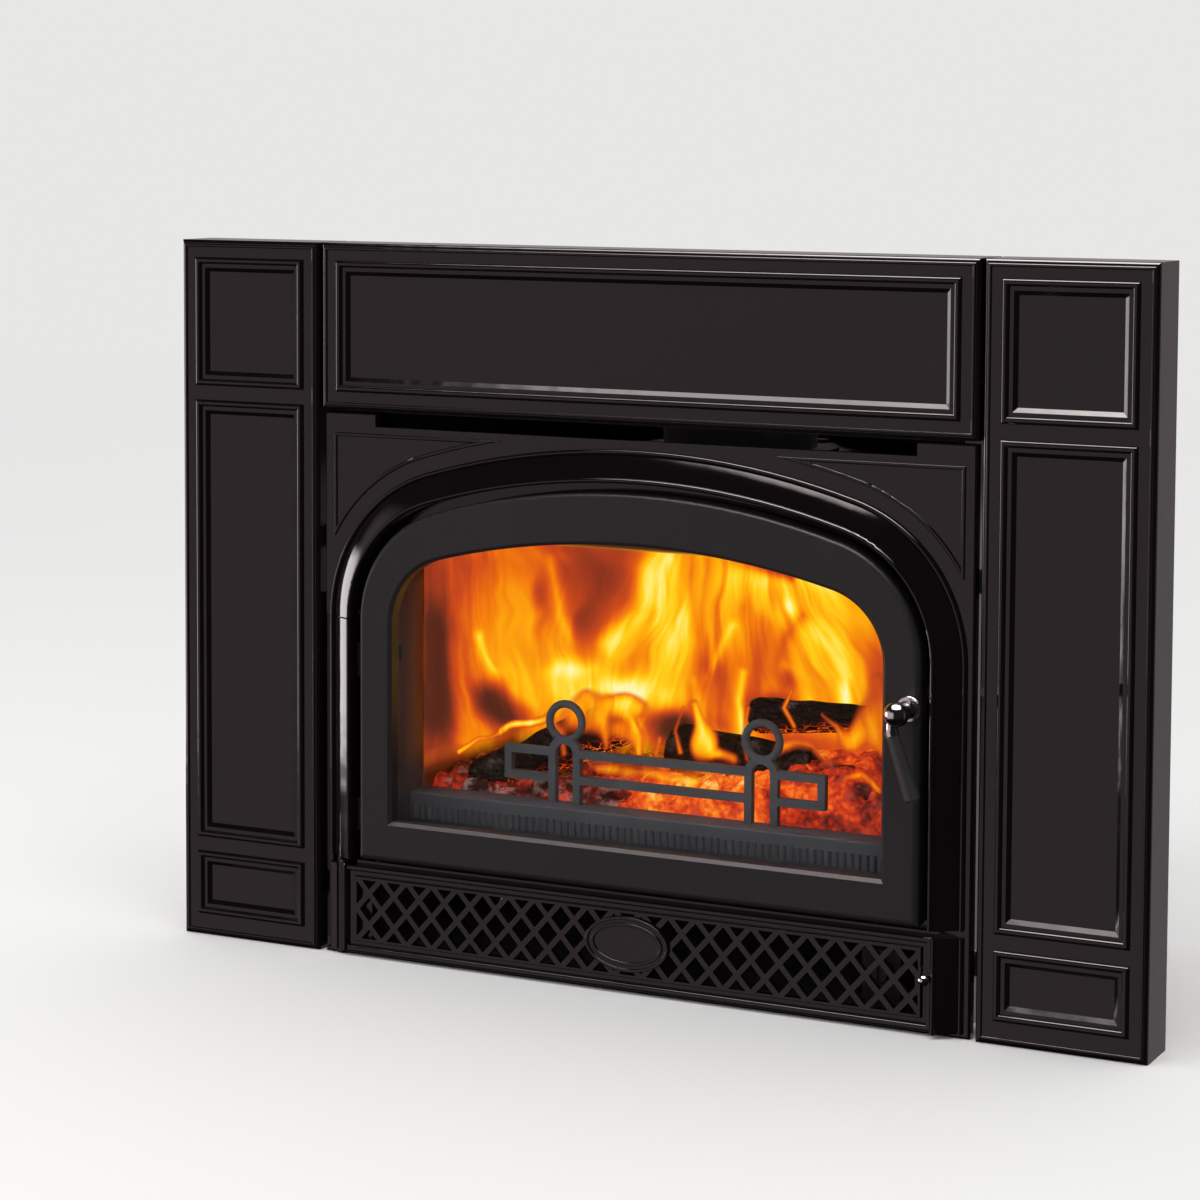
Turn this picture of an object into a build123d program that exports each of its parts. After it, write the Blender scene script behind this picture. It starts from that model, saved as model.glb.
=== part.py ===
from build123d import *
from math import atan2, cos, hypot, pi, radians, sin
import os

# Cast-iron fireplace insert with an arched, glazed door and an enamelled surround.
# Millimetres. X runs to the viewer's right and +Z up. The wall plane behind the surround is Y = 0,
# the room is at -Y and the firebox at +Y. Z = 0 is the hearth. The origin is on the hearth, in the
# wall plane, half way across. Depths of the front pieces are "reach": how far a face stands out
# from the wall plane towards the room, so a reach r is the plane Y = -r.

# Fits shared by all the pieces
seat_gap = 0.3            # between pieces that rest on one another or pass close by
turn_gap = 0.05           # radial gap of a shaft or pin in its bore
sheet = 2.0               # casing sheet
tiny = 0.01               # tolerance used to pick edges by their place

# Surround: two side panels and a top panel round the front of the stove
surround_width = 1060.0
surround_height = 740.0
surround_reach = 58.0     # face of the panels in front of the wall
panel_inner = 362.0       # middle to the inner edge of a side panel
panel_joint = 4.0         # between the top panel and a side panel
panel_wall = 6.0
panel_edge_radius = 4.0
top_panel_low = 569.0     # hearth to the underside of the top panel
edge_line_inset = 4.0     # thin line round each panel
edge_line_width = 3.4
edge_line_rounding = 0.9  # share of the height
edge_line_height = 1.5
panel_bolt_shares = (0.3, 0.75)  # up the height of the top panel
panel_bolt_radius = 3.0
panel_bolt_head = 5.5
panel_bolt_head_length = 4.0
panel_bolt_reach = 30.0
bracket_heights = (60.0, 430.0)
bracket_height = 24.0
bracket_length = 26.0
bracket_sheet = 3.0

# Raised mouldings on the panels
moulding_margin = 18.0    # panel edge to the moulding, at the sides and the top
moulding_foot = 23.0      # hearth to the lowest moulding
low_frame_height = 68.0
top_frame_height = 135.0
frame_spacing = 15.0      # between one frame and the next up a side panel
bead_width = 7.0
bead_height = 3.4
bead_rounding = 3.1
ledge_width = 4.0         # flat between the bead and the sunk field
field_bevel = 4.2         # width of the slope down to the field
field_depth = 3.4

# Front casting, which carries the doors and closes the firebox
casting_gap = 6.0         # to the side panels
casting_setback = 4.0     # its face behind the face of the panels
casting_plate = 10.0
casting_edge_radius = 2.5
land_plate = 6.0          # back plate that the door closes against
land_rise = 2.0           # back plate above the arch
land_margin = 15.0        # and inside its outer edge
slot_height = 14.0        # warm-air slot along the top
slot_margin = 60.0        # edge of the casting to the end of the slot
slot_roof_gap = 3.0       # casting top to the underside of the top panel
vent_margin = 56.0        # to the air opening behind the lower grille
vent_low = 12.0
vent_high = 86.0
spandrel_outset = 15.0    # corner beads outside the arch
spandrel_margin = 11.0
spandrel_leg = 128.0      # top of the casting to the foot of the corner beads
spandrel_bead_width = 3.8
spandrel_bead_height = 1.6
spandrel_bead_rounding = 1.2
spandrel_drop = 7.0       # slot to the top of the corner beads
recess_inset = 20.0       # door recess inside the outer edge of the arch
recess_foot = 4.0         # door recess below the foot of the legs

# Arch: three tangent arcs on upright legs
arch_margin = 7.0         # inside the edge of the casting
arch_head = 23.0          # below its top
arch_corner_radius = 160.0
arch_rise = 188.0         # springing to the crown
hood_width = 32.0
hood_bead = 2.5
hood_outer_rise = 1.6     # foot of the outer bead above the casting face
hood_inner_rise = 17.0    # inner edge above the casting face
hood_wall = 4.0
hood_hollow = 6.0         # under the inner bead
hood_foot_width = 6.0
hood_undercut = 1.5
slope_fullness = 1.0
leg_low = 104.0           # foot of the right leg and of the hinge pilaster
seam = 1.5

# Hinge line at the left, inside the pilasters
hinge_offset = 12.0       # in from the outer edge of the arch
hinge_reach = 50.0
hinge_pin_radius = 5.0
hinge_grip = 17.0         # length of each pin inside a pilaster
channel_clearance = 15.0  # free radius round the hinge line
channel_inner = 19.0      # hinge line to the edge of the back plate
channel_wall = 4.0
channel_lip = 46.0        # reach of the strip beside the pilasters, clear of the open door
lug_radius = 6.5
bottom_lug_height = 4.5
middle_lug_low = 98.0
top_lug_height = 14.0
pilaster_back = 46.0      # reach of the pilasters' back faces

# Door
door_inset = 42.0         # inside the outer edge of the arch
door_low = 106.0
door_thickness = 22.0
door_back = 48.0          # reach of the door's back face
door_edge_radius = 6.0
window_side = 34.5        # edge of the door to the window
window_head = 48.0
window_low = 144.0
window_corner_radius = 75.0
window_springing_drop = 3.0
window_bevel = 3.5
glass_thickness = 4.0
glass_overlap = 4.5
glass_play = 0.5
glass_seal_thickness = 1.5
rope_inset = 64.5         # rope centre line inside the outer edge of the arch
rope_width = 7.0
rope_groove_depth = 4.0
clip_width = 14.0
clip_thickness = 1.6
clip_reach = 7.0          # how far a clip covers the glass edge
clip_foot = 6.0           # how far it reaches past the glass
clip_rise = 56.0          # foot of the window to the low clips
clip_drop = 32.0          # springing of the window to the high ones
clip_foot_x = 150.0
clip_screw_radius = 1.5
clip_screw_head = 2.6
clip_screw_head_thickness = 1.2
clip_screw_length = 5.0
rope_rounding = 2.5
ear_rise = 44.0           # foot of the pilaster to the low ear
ear_drop = 43.5           # head of the pilaster to the high one
ear_height = 34.0
ear_thickness = 6.0
ear_lap = 10.0            # how far an ear reaches into its pilaster
ear_screw_radius = 2.5
ear_screw_spacing = 18.0
ear_screw_length = 16.0
ear_screw_head = 4.2

# Handle and latch
handle_margin = 10.0      # edge of the door to the shaft
handle_drop = 41.0        # below the springing of the arch
handle_shaft_radius = 4.0
escutcheon_radius = 12.5
escutcheon_thickness = 2.0
hub_length = 42.0
hub_collar = 4.0
hub_base_radius = 9.0
hub_waist_radius = 7.5
hub_head_radius = 12.0
neck_radius = 5.5
neck_drop = 20.0
neck_shift = 3.5
neck_bulge = 4.4
ferrule_radius = 6.8
ferrule_length = 5.0
shaft_grip = 12.0         # shaft inside the hub
grip_angle = 19.0         # from straight down, towards the right
grip_length = 64.0
grip_start_radius = 6.3
grip_end_radius = 8.0
grip_end_rounding = 3.0
pawl_length = 20.0
pawl_width = 8.0
pawl_thickness = 4.0
pawl_angle = 50.0         # above level, at rest
pawl_setback = 3.0        # behind the door's back face
pawl_boss_radius = 6.0
pocket_gap = 3.0          # round the sweep of the pawl
nut_radius = 5.8
nut_thickness = 5.0
keeper_below = 8.0        # foot of the keeper under the shaft
keeper_above = 6.0
keeper_finger = 4.5
keeper_gap = 0.5          # pawl to the back of the keeper
keeper_edge_gap = 2.5     # keeper to the edge of the door
keeper_foot_width = 7.0
keeper_foot_margin = 3.0
keeper_screw_radius = 1.5
keeper_screw_head = 2.8

# Lower grille door
grille_margin = 29.0      # outer edge of the arch to its right edge
grille_low = 5.0
grille_high = 96.0
grille_plate = 2.5
grille_back = 54.5        # reach of its back face
grille_border = 6.0       # raised rim
grille_groove = 5.5       # sunk line inside the rim
grille_groove_left = 8.0
grille_frame_rise = 5.5
grille_frame_rounding = 2.0
lattice_rise = 3.5
lattice_rounding = 0.8
lattice_margin = 3.0
lattice_pitch = 29.8
lattice_step = 33.4
lattice_bar = 5.6
lattice_columns = 25
plinth_width = 28.0
plinth_low = 4.8
plinth_high = 97.0
plinth_bevel = 1.5
grille_pilaster_width = 23.0
plinth_shoulder = 58.0    # reach of its outer edge
plinth_flat = 9.5
plinth_slope = 1.5
plinth_groove_side = 1.0
plinth_groove_floor = 57.3
plinth_bead_start = 16.5
plinth_bead_top = 62.5
badge_half_width = 46.0
badge_half_height = 28.0
badge_ring = 3.5
badge_ring_spacing = 6.5
badge_ring_height = 1.5
badge_ring_rounding = 0.7
badge_thickness = 2.0
badge_x = -2.0
badge_z = 51.0
knob_margin = 4.5         # right edge to the knob
knob_z = 57.0
knob_radius = 5.5
knob_stem_radius = 2.8
knob_length = 15.0

# Throat and firebox
throat_inset = 69.0       # inside the outer edge of the arch
throat_wall = 5.0
throat_length = 54.0
firebox_margin = 38.0     # inside the outer edge of the arch
firebox_plate = 5.0
firebox_floor = 108.0
firebox_head = 46.0       # below the top of the front casting
firebox_depth = 356.0     # behind the wall plane
flange_height = 20.0
flange_bolt_places = (-240.0, -80.0, 80.0, 240.0)
flange_bolt_rise = 10.0
flange_bolt_radius = 4.0
flange_bolt_head = 7.5
flange_bolt_grip = 10.0
brick_thickness = 25.0
brick_columns = 5
side_brick_rows = 3
floor_brick_rows = 2
brick_joint = 1.0
side_brick_drop = 105.0   # below the top of the firebox
rear_brick_drop = 80.0
tube_radius = 9.5
tube_bore_radius = 7.5
tube_drop = 90.0
tube_depths = (100.0, 180.0, 260.0)
baffle_thickness = 20.0
baffle_front = 70.0

# Casing, base and flue
jacket_side_space = 29.0  # warm-air space beside the firebox
jacket_rear_space = 36.0
jacket_top_gap = 0.5      # to the top panel
base_thickness = 5.0
base_front = 29.5         # reach of its front edge
foot_inset = 18.0
foot_boss_radius = 9.0
foot_boss_height = 8.0
foot_bolt_radius = 5.0
foot_bolt_head = 8.5
foot_bolt_length = 26.0
flue_bore_radius = 76.2
flue_wall = 5.0
flue_depth = 200.0        # flue centre behind the wall plane
flue_rise = 51.5          # above the jacket
flue_flange_radius = 104.0
flue_flange_thickness = 6.0
flue_bolt_circle = 93.0   # radius
flue_bolt_count = 4
flue_bolt_radius = 4.0
flue_bolt_head = 7.5

# Fire bed
fender_front = 12.0       # reach of its face
fender_wall = 6.0
fender_depth = 34.0
fender_height = 35.0
flute_pitch = 8.0
flute_radius = 3.0
flute_low = 141.0
flute_height = 15.0
retainer_depth = 14.0     # behind the wall plane
retainer_bar = 8.0
ring_radius = 18.5
ring_spacing = 220.0
ring_height = 252.0
post_spacing = 28.0
rail_heights = (193.0, 220.0)
rail_margin = 101.0       # throat to the end of the rails
log_chamfer = 4.0
bed_front = 24.0          # behind the wall plane
bed_left_height = 188.0
bed_right_height = 202.0
bed_crest = ((-235.0, 178.0), (-110.0, 190.0), (0.0, 204.0), (80.0, 214.0), (150.0, 229.0),
             (190.0, 233.0), (235.0, 206.0))

# Air controls
air_slide_width = 200.0
air_slide_depth = 40.0
air_slide_margin = 156.0  # firebox wall to the middle of the slide
air_slide_y = -8.0
air_plate = 3.0
air_rail_lip = 3.0
air_rail_web = 3.0
air_rail_lap = 6.0
air_travel = 22.0
air_hole_radius = 8.0
air_hole_spacing = 44.0
air_hole_count = 4
air_lever_height = 76.0
air_lever_width = 14.0
air_lever_sheet = 4.0
air_lever_radius = 3.0
air_lever_reach = 44.0
air_knob_radius = 6.0

# Fan
fan_radius = 30.0
fan_bore_radius = 24.0
fan_length = 200.0
fan_y = 300.0
fan_z = 50.0
fan_shaft_radius = 4.0
fan_disc = 2.0
fan_blade_count = 24
fan_blade_thickness = 1.6
fan_gap = 5.0
motor_radius = 26.0
motor_length = 56.0
motor_rounding = 5.0
fan_knob_margin = 61.0    # firebox wall to the knob
fan_knob_z = 45.0
fan_knob_radius = 11.0
fan_knob_length = 12.0
fan_knob_rounding = 1.5
fan_pointer_width = 3.0
control_y = -14.0
control_depth = 26.0
control_half_width = 20.0

# Places worked out from the sizes above
half_width = surround_width / 2
top_half = panel_inner - panel_joint
panel_bolt_heights = [top_panel_low + share * (surround_height - top_panel_low)
                      for share in panel_bolt_shares]
casting_half_width = panel_inner - casting_gap
casting_face = surround_reach - casting_setback
casting_top = top_panel_low - slot_roof_gap
slot_half_width = casting_half_width - slot_margin
vent_half_width = casting_half_width - vent_margin
spandrel_low = casting_top - spandrel_leg
arch_half_width = casting_half_width - arch_margin
arch_top = casting_top - arch_head
arch_springing = arch_top - arch_rise
land_height = arch_top + land_rise
land_half_width = arch_half_width - land_margin
land_face = casting_face - casting_plate
land_back = land_face - land_plate
recess_low = leg_low - recess_foot
hinge_x = hinge_offset - arch_half_width
channel_left = hinge_x - channel_clearance
channel_right = hinge_x + channel_inner
channel_back = hinge_reach - channel_clearance
middle_lug_high = leg_low - seat_gap
top_lug_low = arch_springing + seam
pilaster_top = arch_springing - seam
pilaster_inner = hood_width - arch_half_width
ear_heights = (leg_low + ear_rise, pilaster_top - ear_drop)
door_face = door_back + door_thickness
door_half_width = arch_half_width - door_inset
window_half_width = door_half_width - window_side
window_top = arch_top - door_inset - window_head
window_springing = arch_springing - window_springing_drop
clip_heights = (window_low + clip_rise, window_springing - clip_drop)
glass_back = door_back + seat_gap
glass_front = glass_back + glass_thickness
glass_pocket = seat_gap + glass_thickness + glass_seal_thickness
handle_x = door_half_width - handle_margin
handle_z = arch_springing - handle_drop
hub_back = door_face + escutcheon_thickness + seat_gap
hub_front = hub_back + hub_length
grip_reach = hub_front - hub_head_radius
grip_start = (handle_x - neck_shift, -grip_reach, handle_z - neck_drop)
grip_direction = (sin(radians(grip_angle)), 0, -cos(radians(grip_angle)))
pawl_front = door_back - pawl_setback
pawl_sweep = hypot(pawl_length, pawl_width / 2)
pocket_left = handle_x - pawl_boss_radius - pocket_gap
pocket_right = handle_x + pawl_sweep + pocket_gap
pocket_low = handle_z - pawl_boss_radius - pocket_gap
pocket_high = handle_z + pawl_sweep + pocket_gap
keeper_wall = arch_half_width - recess_inset
keeper_low = handle_z - keeper_below
keeper_high = handle_z + keeper_above
keeper_back = pawl_front + keeper_gap
keeper_front = keeper_back + keeper_finger
keeper_tip = door_half_width + keeper_edge_gap
keeper_screw_x = keeper_wall - keeper_foot_width / 2
keeper_screw_heights = (keeper_low, keeper_high)
grille_right = arch_half_width - grille_margin
knob_x = grille_right - knob_margin
throat_half_width = arch_half_width - throat_inset
rail_half_length = throat_half_width - rail_margin
throat_low = door_low + throat_inset - door_inset
throat_back = throat_length - land_back
firebox_half_width = arch_half_width - firebox_margin
firebox_inner = firebox_half_width - firebox_plate
firebox_top = casting_top - firebox_head
side_brick_top = firebox_top - side_brick_drop
rear_brick_top = firebox_top - rear_brick_drop
tube_height = firebox_top - tube_drop
flange_bolt_height = firebox_top + flange_bolt_rise
brick_front = throat_back + brick_joint
brick_floor = firebox_floor + firebox_plate
hearth_top = brick_floor + brick_thickness
brick_inner = firebox_inner - brick_thickness
brick_back = firebox_depth - firebox_plate - brick_joint
jacket_half_width = firebox_half_width + jacket_side_space
jacket_depth = firebox_depth + jacket_rear_space
jacket_top = top_panel_low - jacket_top_gap
flue_top = jacket_top + flue_rise
foot_places = [(side * (jacket_half_width - foot_inset), y) for side in (-1, 1)
               for y in (foot_inset, jacket_depth - foot_inset)]
air_slide_x = air_slide_margin - firebox_inner
fan_knob_x = firebox_half_width - fan_knob_margin
air_hole_places = [air_slide_x + (index - (air_hole_count - 1) / 2) * air_hole_spacing
                   for index in range(air_hole_count)]

os.makedirs("parts", exist_ok=True)


def front(reach):
    """Upright plane facing the room; sketches on it are drawn in X and Z."""
    return Plane.XZ.offset(reach)


def level(height):
    """Level plane; sketches on it are drawn in X and Y."""
    return Plane.XY.offset(height)


def block(low, high, mode=Mode.ADD):
    """Box between two opposite corners."""
    size = [top - bottom for bottom, top in zip(low, high)]
    with Locations(low):
        Box(*size, align=(Align.MIN, Align.MIN, Align.MIN), mode=mode)


def room_rod(x, z, radius, back, face, mode=Mode.ADD):
    """Cylinder along Y between two reaches."""
    with BuildSketch(front(back)) as disc:
        with Locations((x, z)):
            Circle(radius)
    extrude(disc.sketch, amount=face - back, mode=mode)


def upright_rod(x, y, radius, low, high, mode=Mode.ADD):
    """Cylinder along Z between two heights."""
    with BuildSketch(level(low)) as disc:
        with Locations((x, y)):
            Circle(radius)
    extrude(disc.sketch, amount=high - low, mode=mode)


def cross_rod(y, z, radius, left, right, mode=Mode.ADD):
    """Cylinder along X."""
    with BuildSketch(Plane.YZ.offset(left)) as disc:
        with Locations((y, z)):
            Circle(radius)
    extrude(disc.sketch, amount=right - left, mode=mode)


def edges_in_front(part, reach):
    """Edges that lie wholly at one reach."""
    return part.edges().filter_by_position(Axis.Y, -reach - tiny, -reach + tiny).filter_by(
        lambda edge: abs(edge.bounding_box().max.Y - edge.bounding_box().min.Y) < tiny)


def finish(piece, name):
    """Names a finished piece and writes its file."""
    piece.part.label = name
    export_step(piece.part, f"parts/{name}.step")


def arch_arcs(half, top, corner, springing):
    """Three tangent arcs from the springing of the right leg over to the left one's."""
    offset_x = half - corner
    rise = top - springing
    crown = (offset_x ** 2 + rise ** 2 - corner ** 2) / (2 * (rise - corner))
    turn = atan2(springing - (top - crown), offset_x)
    joint = (offset_x + corner * cos(turn), springing + corner * sin(turn))
    haunch = (offset_x + corner * cos(turn / 2), springing + corner * sin(turn / 2))
    ThreePointArc((half, springing), haunch, joint)
    ThreePointArc(joint, (0, top), (-joint[0], joint[1]))
    ThreePointArc((-joint[0], joint[1]), (-haunch[0], haunch[1]), (-half, springing))


def arch_outline(half, top, corner, springing, low):
    """Closed outline: the three arcs, two upright legs and a level foot."""
    arch_arcs(half, top, corner, springing)
    Polyline((-half, springing), (-half, low), (half, low), (half, springing))


def arch_face(inset, low, mode=Mode.ADD):
    """Area inside the arch, drawn in from its outer edge."""
    with BuildLine() as outline:
        arch_outline(arch_half_width - inset, arch_top - inset, arch_corner_radius - inset,
                     arch_springing, low)
    make_face(outline.edges(), mode=mode)


def rope_low(step):
    """Foot of the rope ring, stepped in from its centre line."""
    return door_low + rope_inset - door_inset + step


def window_face(inset, mode=Mode.ADD):
    """Area of the window, drawn in from the edge of its bevel."""
    with BuildLine() as outline:
        arch_outline(window_half_width - inset, window_top - inset, window_corner_radius - inset,
                     window_springing, window_low + inset)
    make_face(outline.edges(), mode=mode)


def polar_places(radius, count):
    """Points round a circle, starting half a step from the X axis."""
    return [(radius * cos(2 * pi * (index + 0.5) / count), radius * sin(2 * pi * (index + 0.5) / count))
            for index in range(count)]


def ring_face(reach, centre, outer, border):
    """Rectangular ring on a plane that faces the room; without a border it is a full rectangle."""
    with BuildSketch(front(reach)) as face:
        with Locations(centre):
            Rectangle(*outer)
            if border:
                Rectangle(outer[0] - 2 * border, outer[1] - 2 * border, mode=Mode.SUBTRACT)
    return face.sketch


def panel_tray(tray, low_x, high_x, low_z, high_z, frames):
    """Panel open at the back, with returns to the wall, an edge line and moulded frames."""
    middle = (low_x + high_x) / 2
    centre = (middle, (low_z + high_z) / 2)
    width = high_x - low_x
    height = high_z - low_z
    extrude(ring_face(0, centre, (width, height), 0), amount=surround_reach)
    fillet(edges_in_front(tray.part, surround_reach), panel_edge_radius)
    hollow = (width - 2 * panel_wall, height - 2 * panel_wall)
    extrude(ring_face(0, centre, hollow, 0), amount=surround_reach - panel_wall, mode=Mode.SUBTRACT)
    line = (width - 2 * edge_line_inset, height - 2 * edge_line_inset)
    root = surround_reach - edge_line_height
    extrude(ring_face(root, centre, line, edge_line_width), amount=2 * edge_line_height)
    line_edges = edges_in_front(tray.part, surround_reach + edge_line_height)
    fillet(line_edges, edge_line_rounding * edge_line_height)
    frame_width = width - 2 * moulding_margin
    for low, high in frames:
        frame = (frame_width, high - low)
        extrude(ring_face(root, (middle, (low + high) / 2), frame, bead_width),
                amount=edge_line_height + bead_height)
    fillet(edges_in_front(tray.part, surround_reach + bead_height), bead_rounding)
    rim = 2 * (bead_width + ledge_width)
    for low, high in frames:
        middle_spot = (middle, (low + high) / 2)
        field = (frame_width - rim, high - low - rim)
        floor = (field[0] - 2 * field_bevel, field[1] - 2 * field_bevel)
        loft([ring_face(surround_reach - field_depth, middle_spot, floor, 0).face(),
              ring_face(surround_reach, middle_spot, field, 0).face()], mode=Mode.SUBTRACT)


# ---- Surround ----

low_frame_top = moulding_foot + low_frame_height
top_frame_top = surround_height - moulding_margin
top_frame_low = top_frame_top - top_frame_height
side_frames = ((moulding_foot, low_frame_top),
               (low_frame_top + frame_spacing, top_frame_low - frame_spacing),
               (top_frame_low, top_frame_top))
top_frames = ((top_panel_low + moulding_margin, top_frame_top),)


def panel_bolt_holes():
    """Holes through the sides where the top panel and a side panel meet."""
    for side in (-1, 1):
        for height in panel_bolt_heights:
            cross_rod(-panel_bolt_reach, height, panel_bolt_radius + turn_gap,
                      side * top_half - 2 * panel_wall - panel_joint,
                      side * top_half + 2 * panel_wall + panel_joint, Mode.SUBTRACT)


with BuildPart() as left_surround_panel:
    panel_tray(left_surround_panel, -half_width, -panel_inner, 0, surround_height, side_frames)
    panel_bolt_holes()
finish(left_surround_panel, "left_surround_panel")

with BuildPart() as right_surround_panel:
    panel_tray(right_surround_panel, panel_inner, half_width, 0, surround_height, side_frames)
    panel_bolt_holes()
finish(right_surround_panel, "right_surround_panel")

with BuildPart() as top_surround_panel:
    panel_tray(top_surround_panel, -top_half, top_half, top_panel_low, surround_height, top_frames)
    panel_bolt_holes()
finish(top_surround_panel, "top_surround_panel")

# Bolts across the two joints: a head inside the side panel and a nut inside the top panel
with BuildPart() as panel_bolts:
    for side in (-1, 1):
        head_face = side * (panel_inner + panel_wall)
        nut_face = side * (top_half - panel_wall)
        for height in panel_bolt_heights:
            cross_rod(-panel_bolt_reach, height, panel_bolt_radius,
                      min(head_face, nut_face), max(head_face, nut_face))
            for end, outward in ((head_face, side), (nut_face, -side)):
                with BuildSketch(Plane.YZ.offset(end)):
                    with Locations((-panel_bolt_reach, height)):
                        RegularPolygon(panel_bolt_head, 6)
                extrude(amount=outward * panel_bolt_head_length)
finish(panel_bolts, "panel_bolts")

# Channels that carry the side panels on the casing
with BuildPart() as surround_brackets:
    for side in (-1, 1):
        ends = sorted((side * jacket_half_width, side * panel_inner))
        for height in bracket_heights:
            low = height - bracket_height / 2
            high = height + bracket_height / 2
            block((ends[0], -bracket_length, low), (ends[1], 0, high))
            block((ends[0] + bracket_sheet, -bracket_length, low),
                  (ends[1] - bracket_sheet, -bracket_sheet, high), Mode.SUBTRACT)
finish(surround_brackets, "surround_brackets")


# ---- Front casting, hood and hinge pins ----

def hinge_bores(low, high):
    """Bore for a hinge pin, open along the given heights."""
    upright_rod(hinge_x, -hinge_reach, hinge_pin_radius + turn_gap, low, high, Mode.SUBTRACT)


with BuildPart() as front_casting:
    with BuildSketch(front(land_face)):
        with Locations((0, casting_top / 2)):
            Rectangle(2 * casting_half_width, casting_top)
    extrude(amount=casting_plate)
    fillet(edges_in_front(front_casting.part, casting_face), casting_edge_radius)
    with BuildSketch(front(land_face)):
        arch_face(recess_inset, recess_low)
        with Locations((0, casting_top)):
            Rectangle(2 * slot_half_width, 2 * slot_height)
    extrude(amount=casting_plate, mode=Mode.SUBTRACT)
    # corner beads above the arch
    spandrel_high = casting_top - slot_height - spandrel_drop
    with BuildSketch(front(casting_face)):
        with Locations((0, (spandrel_low + spandrel_high) / 2)):
            Rectangle(2 * (casting_half_width - spandrel_margin), spandrel_high - spandrel_low)
        arch_face(-spandrel_outset, 0, mode=Mode.SUBTRACT)
        offset(amount=-spandrel_bead_width, kind=Kind.INTERSECTION, mode=Mode.SUBTRACT)
    extrude(amount=spandrel_bead_height)
    fillet(edges_in_front(front_casting.part, casting_face + spandrel_bead_height),
           spandrel_bead_rounding)
    # back plate with the throat, and the box behind the hinge line
    with BuildSketch(front(land_back)):
        with Locations((0, land_height / 2)):
            Rectangle(2 * land_half_width, land_height)
        arch_face(throat_inset, throat_low, mode=Mode.SUBTRACT)
    extrude(amount=land_plate)
    block((-casting_half_width, -land_face, 0),
          (channel_right + channel_wall, channel_wall - channel_back,
           top_lug_low + top_lug_height + channel_wall))
    block((channel_left, -surround_reach, bottom_lug_height),
          (channel_right, -channel_back, top_lug_low), Mode.SUBTRACT)
    block((-casting_half_width, -casting_face, bottom_lug_height), (channel_left, -channel_lip, top_lug_low),
          Mode.SUBTRACT)
    for low, high in ((0, bottom_lug_height), (middle_lug_low, middle_lug_high),
                      (top_lug_low, top_lug_low + top_lug_height)):
        block((hinge_x - lug_radius, -hinge_reach, low), (hinge_x + lug_radius, -channel_back, high))
        upright_rod(hinge_x, -hinge_reach, lug_radius, low, high)
        hinge_bores(low, high)
    # air opening behind the lower grille and the pocket that the latch turns in
    block((-vent_half_width, -casting_face, vent_low),
          (vent_half_width, -land_back, vent_high), Mode.SUBTRACT)
    block((pocket_left, -land_face, pocket_low), (pocket_right, -land_back, pocket_high),
          Mode.SUBTRACT)
    # tapped holes for the keeper and the firebox flange
    for height in keeper_screw_heights:
        room_rod(keeper_screw_x, height, keeper_screw_radius + turn_gap, land_back, land_face,
                 Mode.SUBTRACT)
    for x in flange_bolt_places:
        room_rod(x, flange_bolt_height, flange_bolt_radius + turn_gap, land_back,
                 land_back + flange_bolt_grip, Mode.SUBTRACT)
finish(front_casting, "front_casting")


def crest_line(width):
    """Section of the sloping band: an outer bead, a full slope and an inner bead."""
    foot = casting_face + hood_outer_rise
    peak = casting_face + hood_inner_rise
    lip = 2 * hood_bead
    Line((0, casting_face), (0, foot))
    ThreePointArc((0, foot), (hood_bead, foot + hood_bead), (lip, foot))
    ThreePointArc((lip, foot),
                  (width / 2, (foot + peak - hood_bead) / 2 + slope_fullness),
                  (width - lip, peak - hood_bead))
    ThreePointArc((width - lip, peak - hood_bead), (width - hood_bead, peak),
                  (width, peak - hood_bead))


with BuildPart() as arch_hood:
    with BuildLine(Plane.XZ):
        arch_arcs(arch_half_width, arch_top, arch_corner_radius, arch_springing)
        Line((arch_half_width, leg_low), (arch_half_width, arch_springing))
    hood_foot = Plane((arch_half_width, 0, leg_low), x_dir=(-1, 0, 0), z_dir=(0, 0, 1))
    with BuildSketch(hood_foot):
        with BuildLine():
            crest_line(hood_width)
            Polyline((hood_width, casting_face + hood_inner_rise - hood_bead),
                     (hood_width, casting_face), (hood_width - hood_wall, casting_face),
                     (hood_width - hood_wall, casting_face + hood_inner_rise - hood_hollow),
                     (hood_foot_width, casting_face + hood_undercut),
                     (hood_foot_width, casting_face), (0, casting_face))
        make_face()
    sweep()
finish(arch_hood, "arch_hood")

with BuildPart() as right_plinth_block:
    plinth_foot = Plane((arch_half_width, 0, plinth_low), x_dir=(-1, 0, 0), z_dir=(0, 0, 1))
    with BuildSketch(plinth_foot):
        with BuildLine():
            crest_line(plinth_width)
            Polyline((plinth_width, casting_face + hood_inner_rise - hood_bead),
                     (plinth_width, casting_face), (0, casting_face))
        make_face()
    extrude(amount=plinth_high - plinth_low)
finish(right_plinth_block, "right_plinth_block")

with BuildPart() as hinge_pins:
    for low, high in ((seat_gap, plinth_low + hinge_grip - seat_gap),
                      (plinth_high - hinge_grip + seat_gap, leg_low + hinge_grip - seat_gap),
                      (pilaster_top - hinge_grip + seat_gap, top_lug_low + top_lug_height)):
        upright_rod(hinge_x, -hinge_reach, hinge_pin_radius, low, high)
finish(hinge_pins, "hinge_pins")

with BuildPart() as latch_keeper:
    block((keeper_wall - keeper_foot_width, -keeper_front, keeper_low - keeper_foot_margin),
          (keeper_wall, -land_face, keeper_high + keeper_foot_margin))
    block((keeper_tip, -keeper_front, keeper_low),
          (keeper_wall - keeper_foot_width, -keeper_back, keeper_high))
    for height in keeper_screw_heights:
        room_rod(keeper_screw_x, height, keeper_screw_radius + turn_gap, land_face, keeper_front,
                 Mode.SUBTRACT)
finish(latch_keeper, "latch_keeper")

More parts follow.
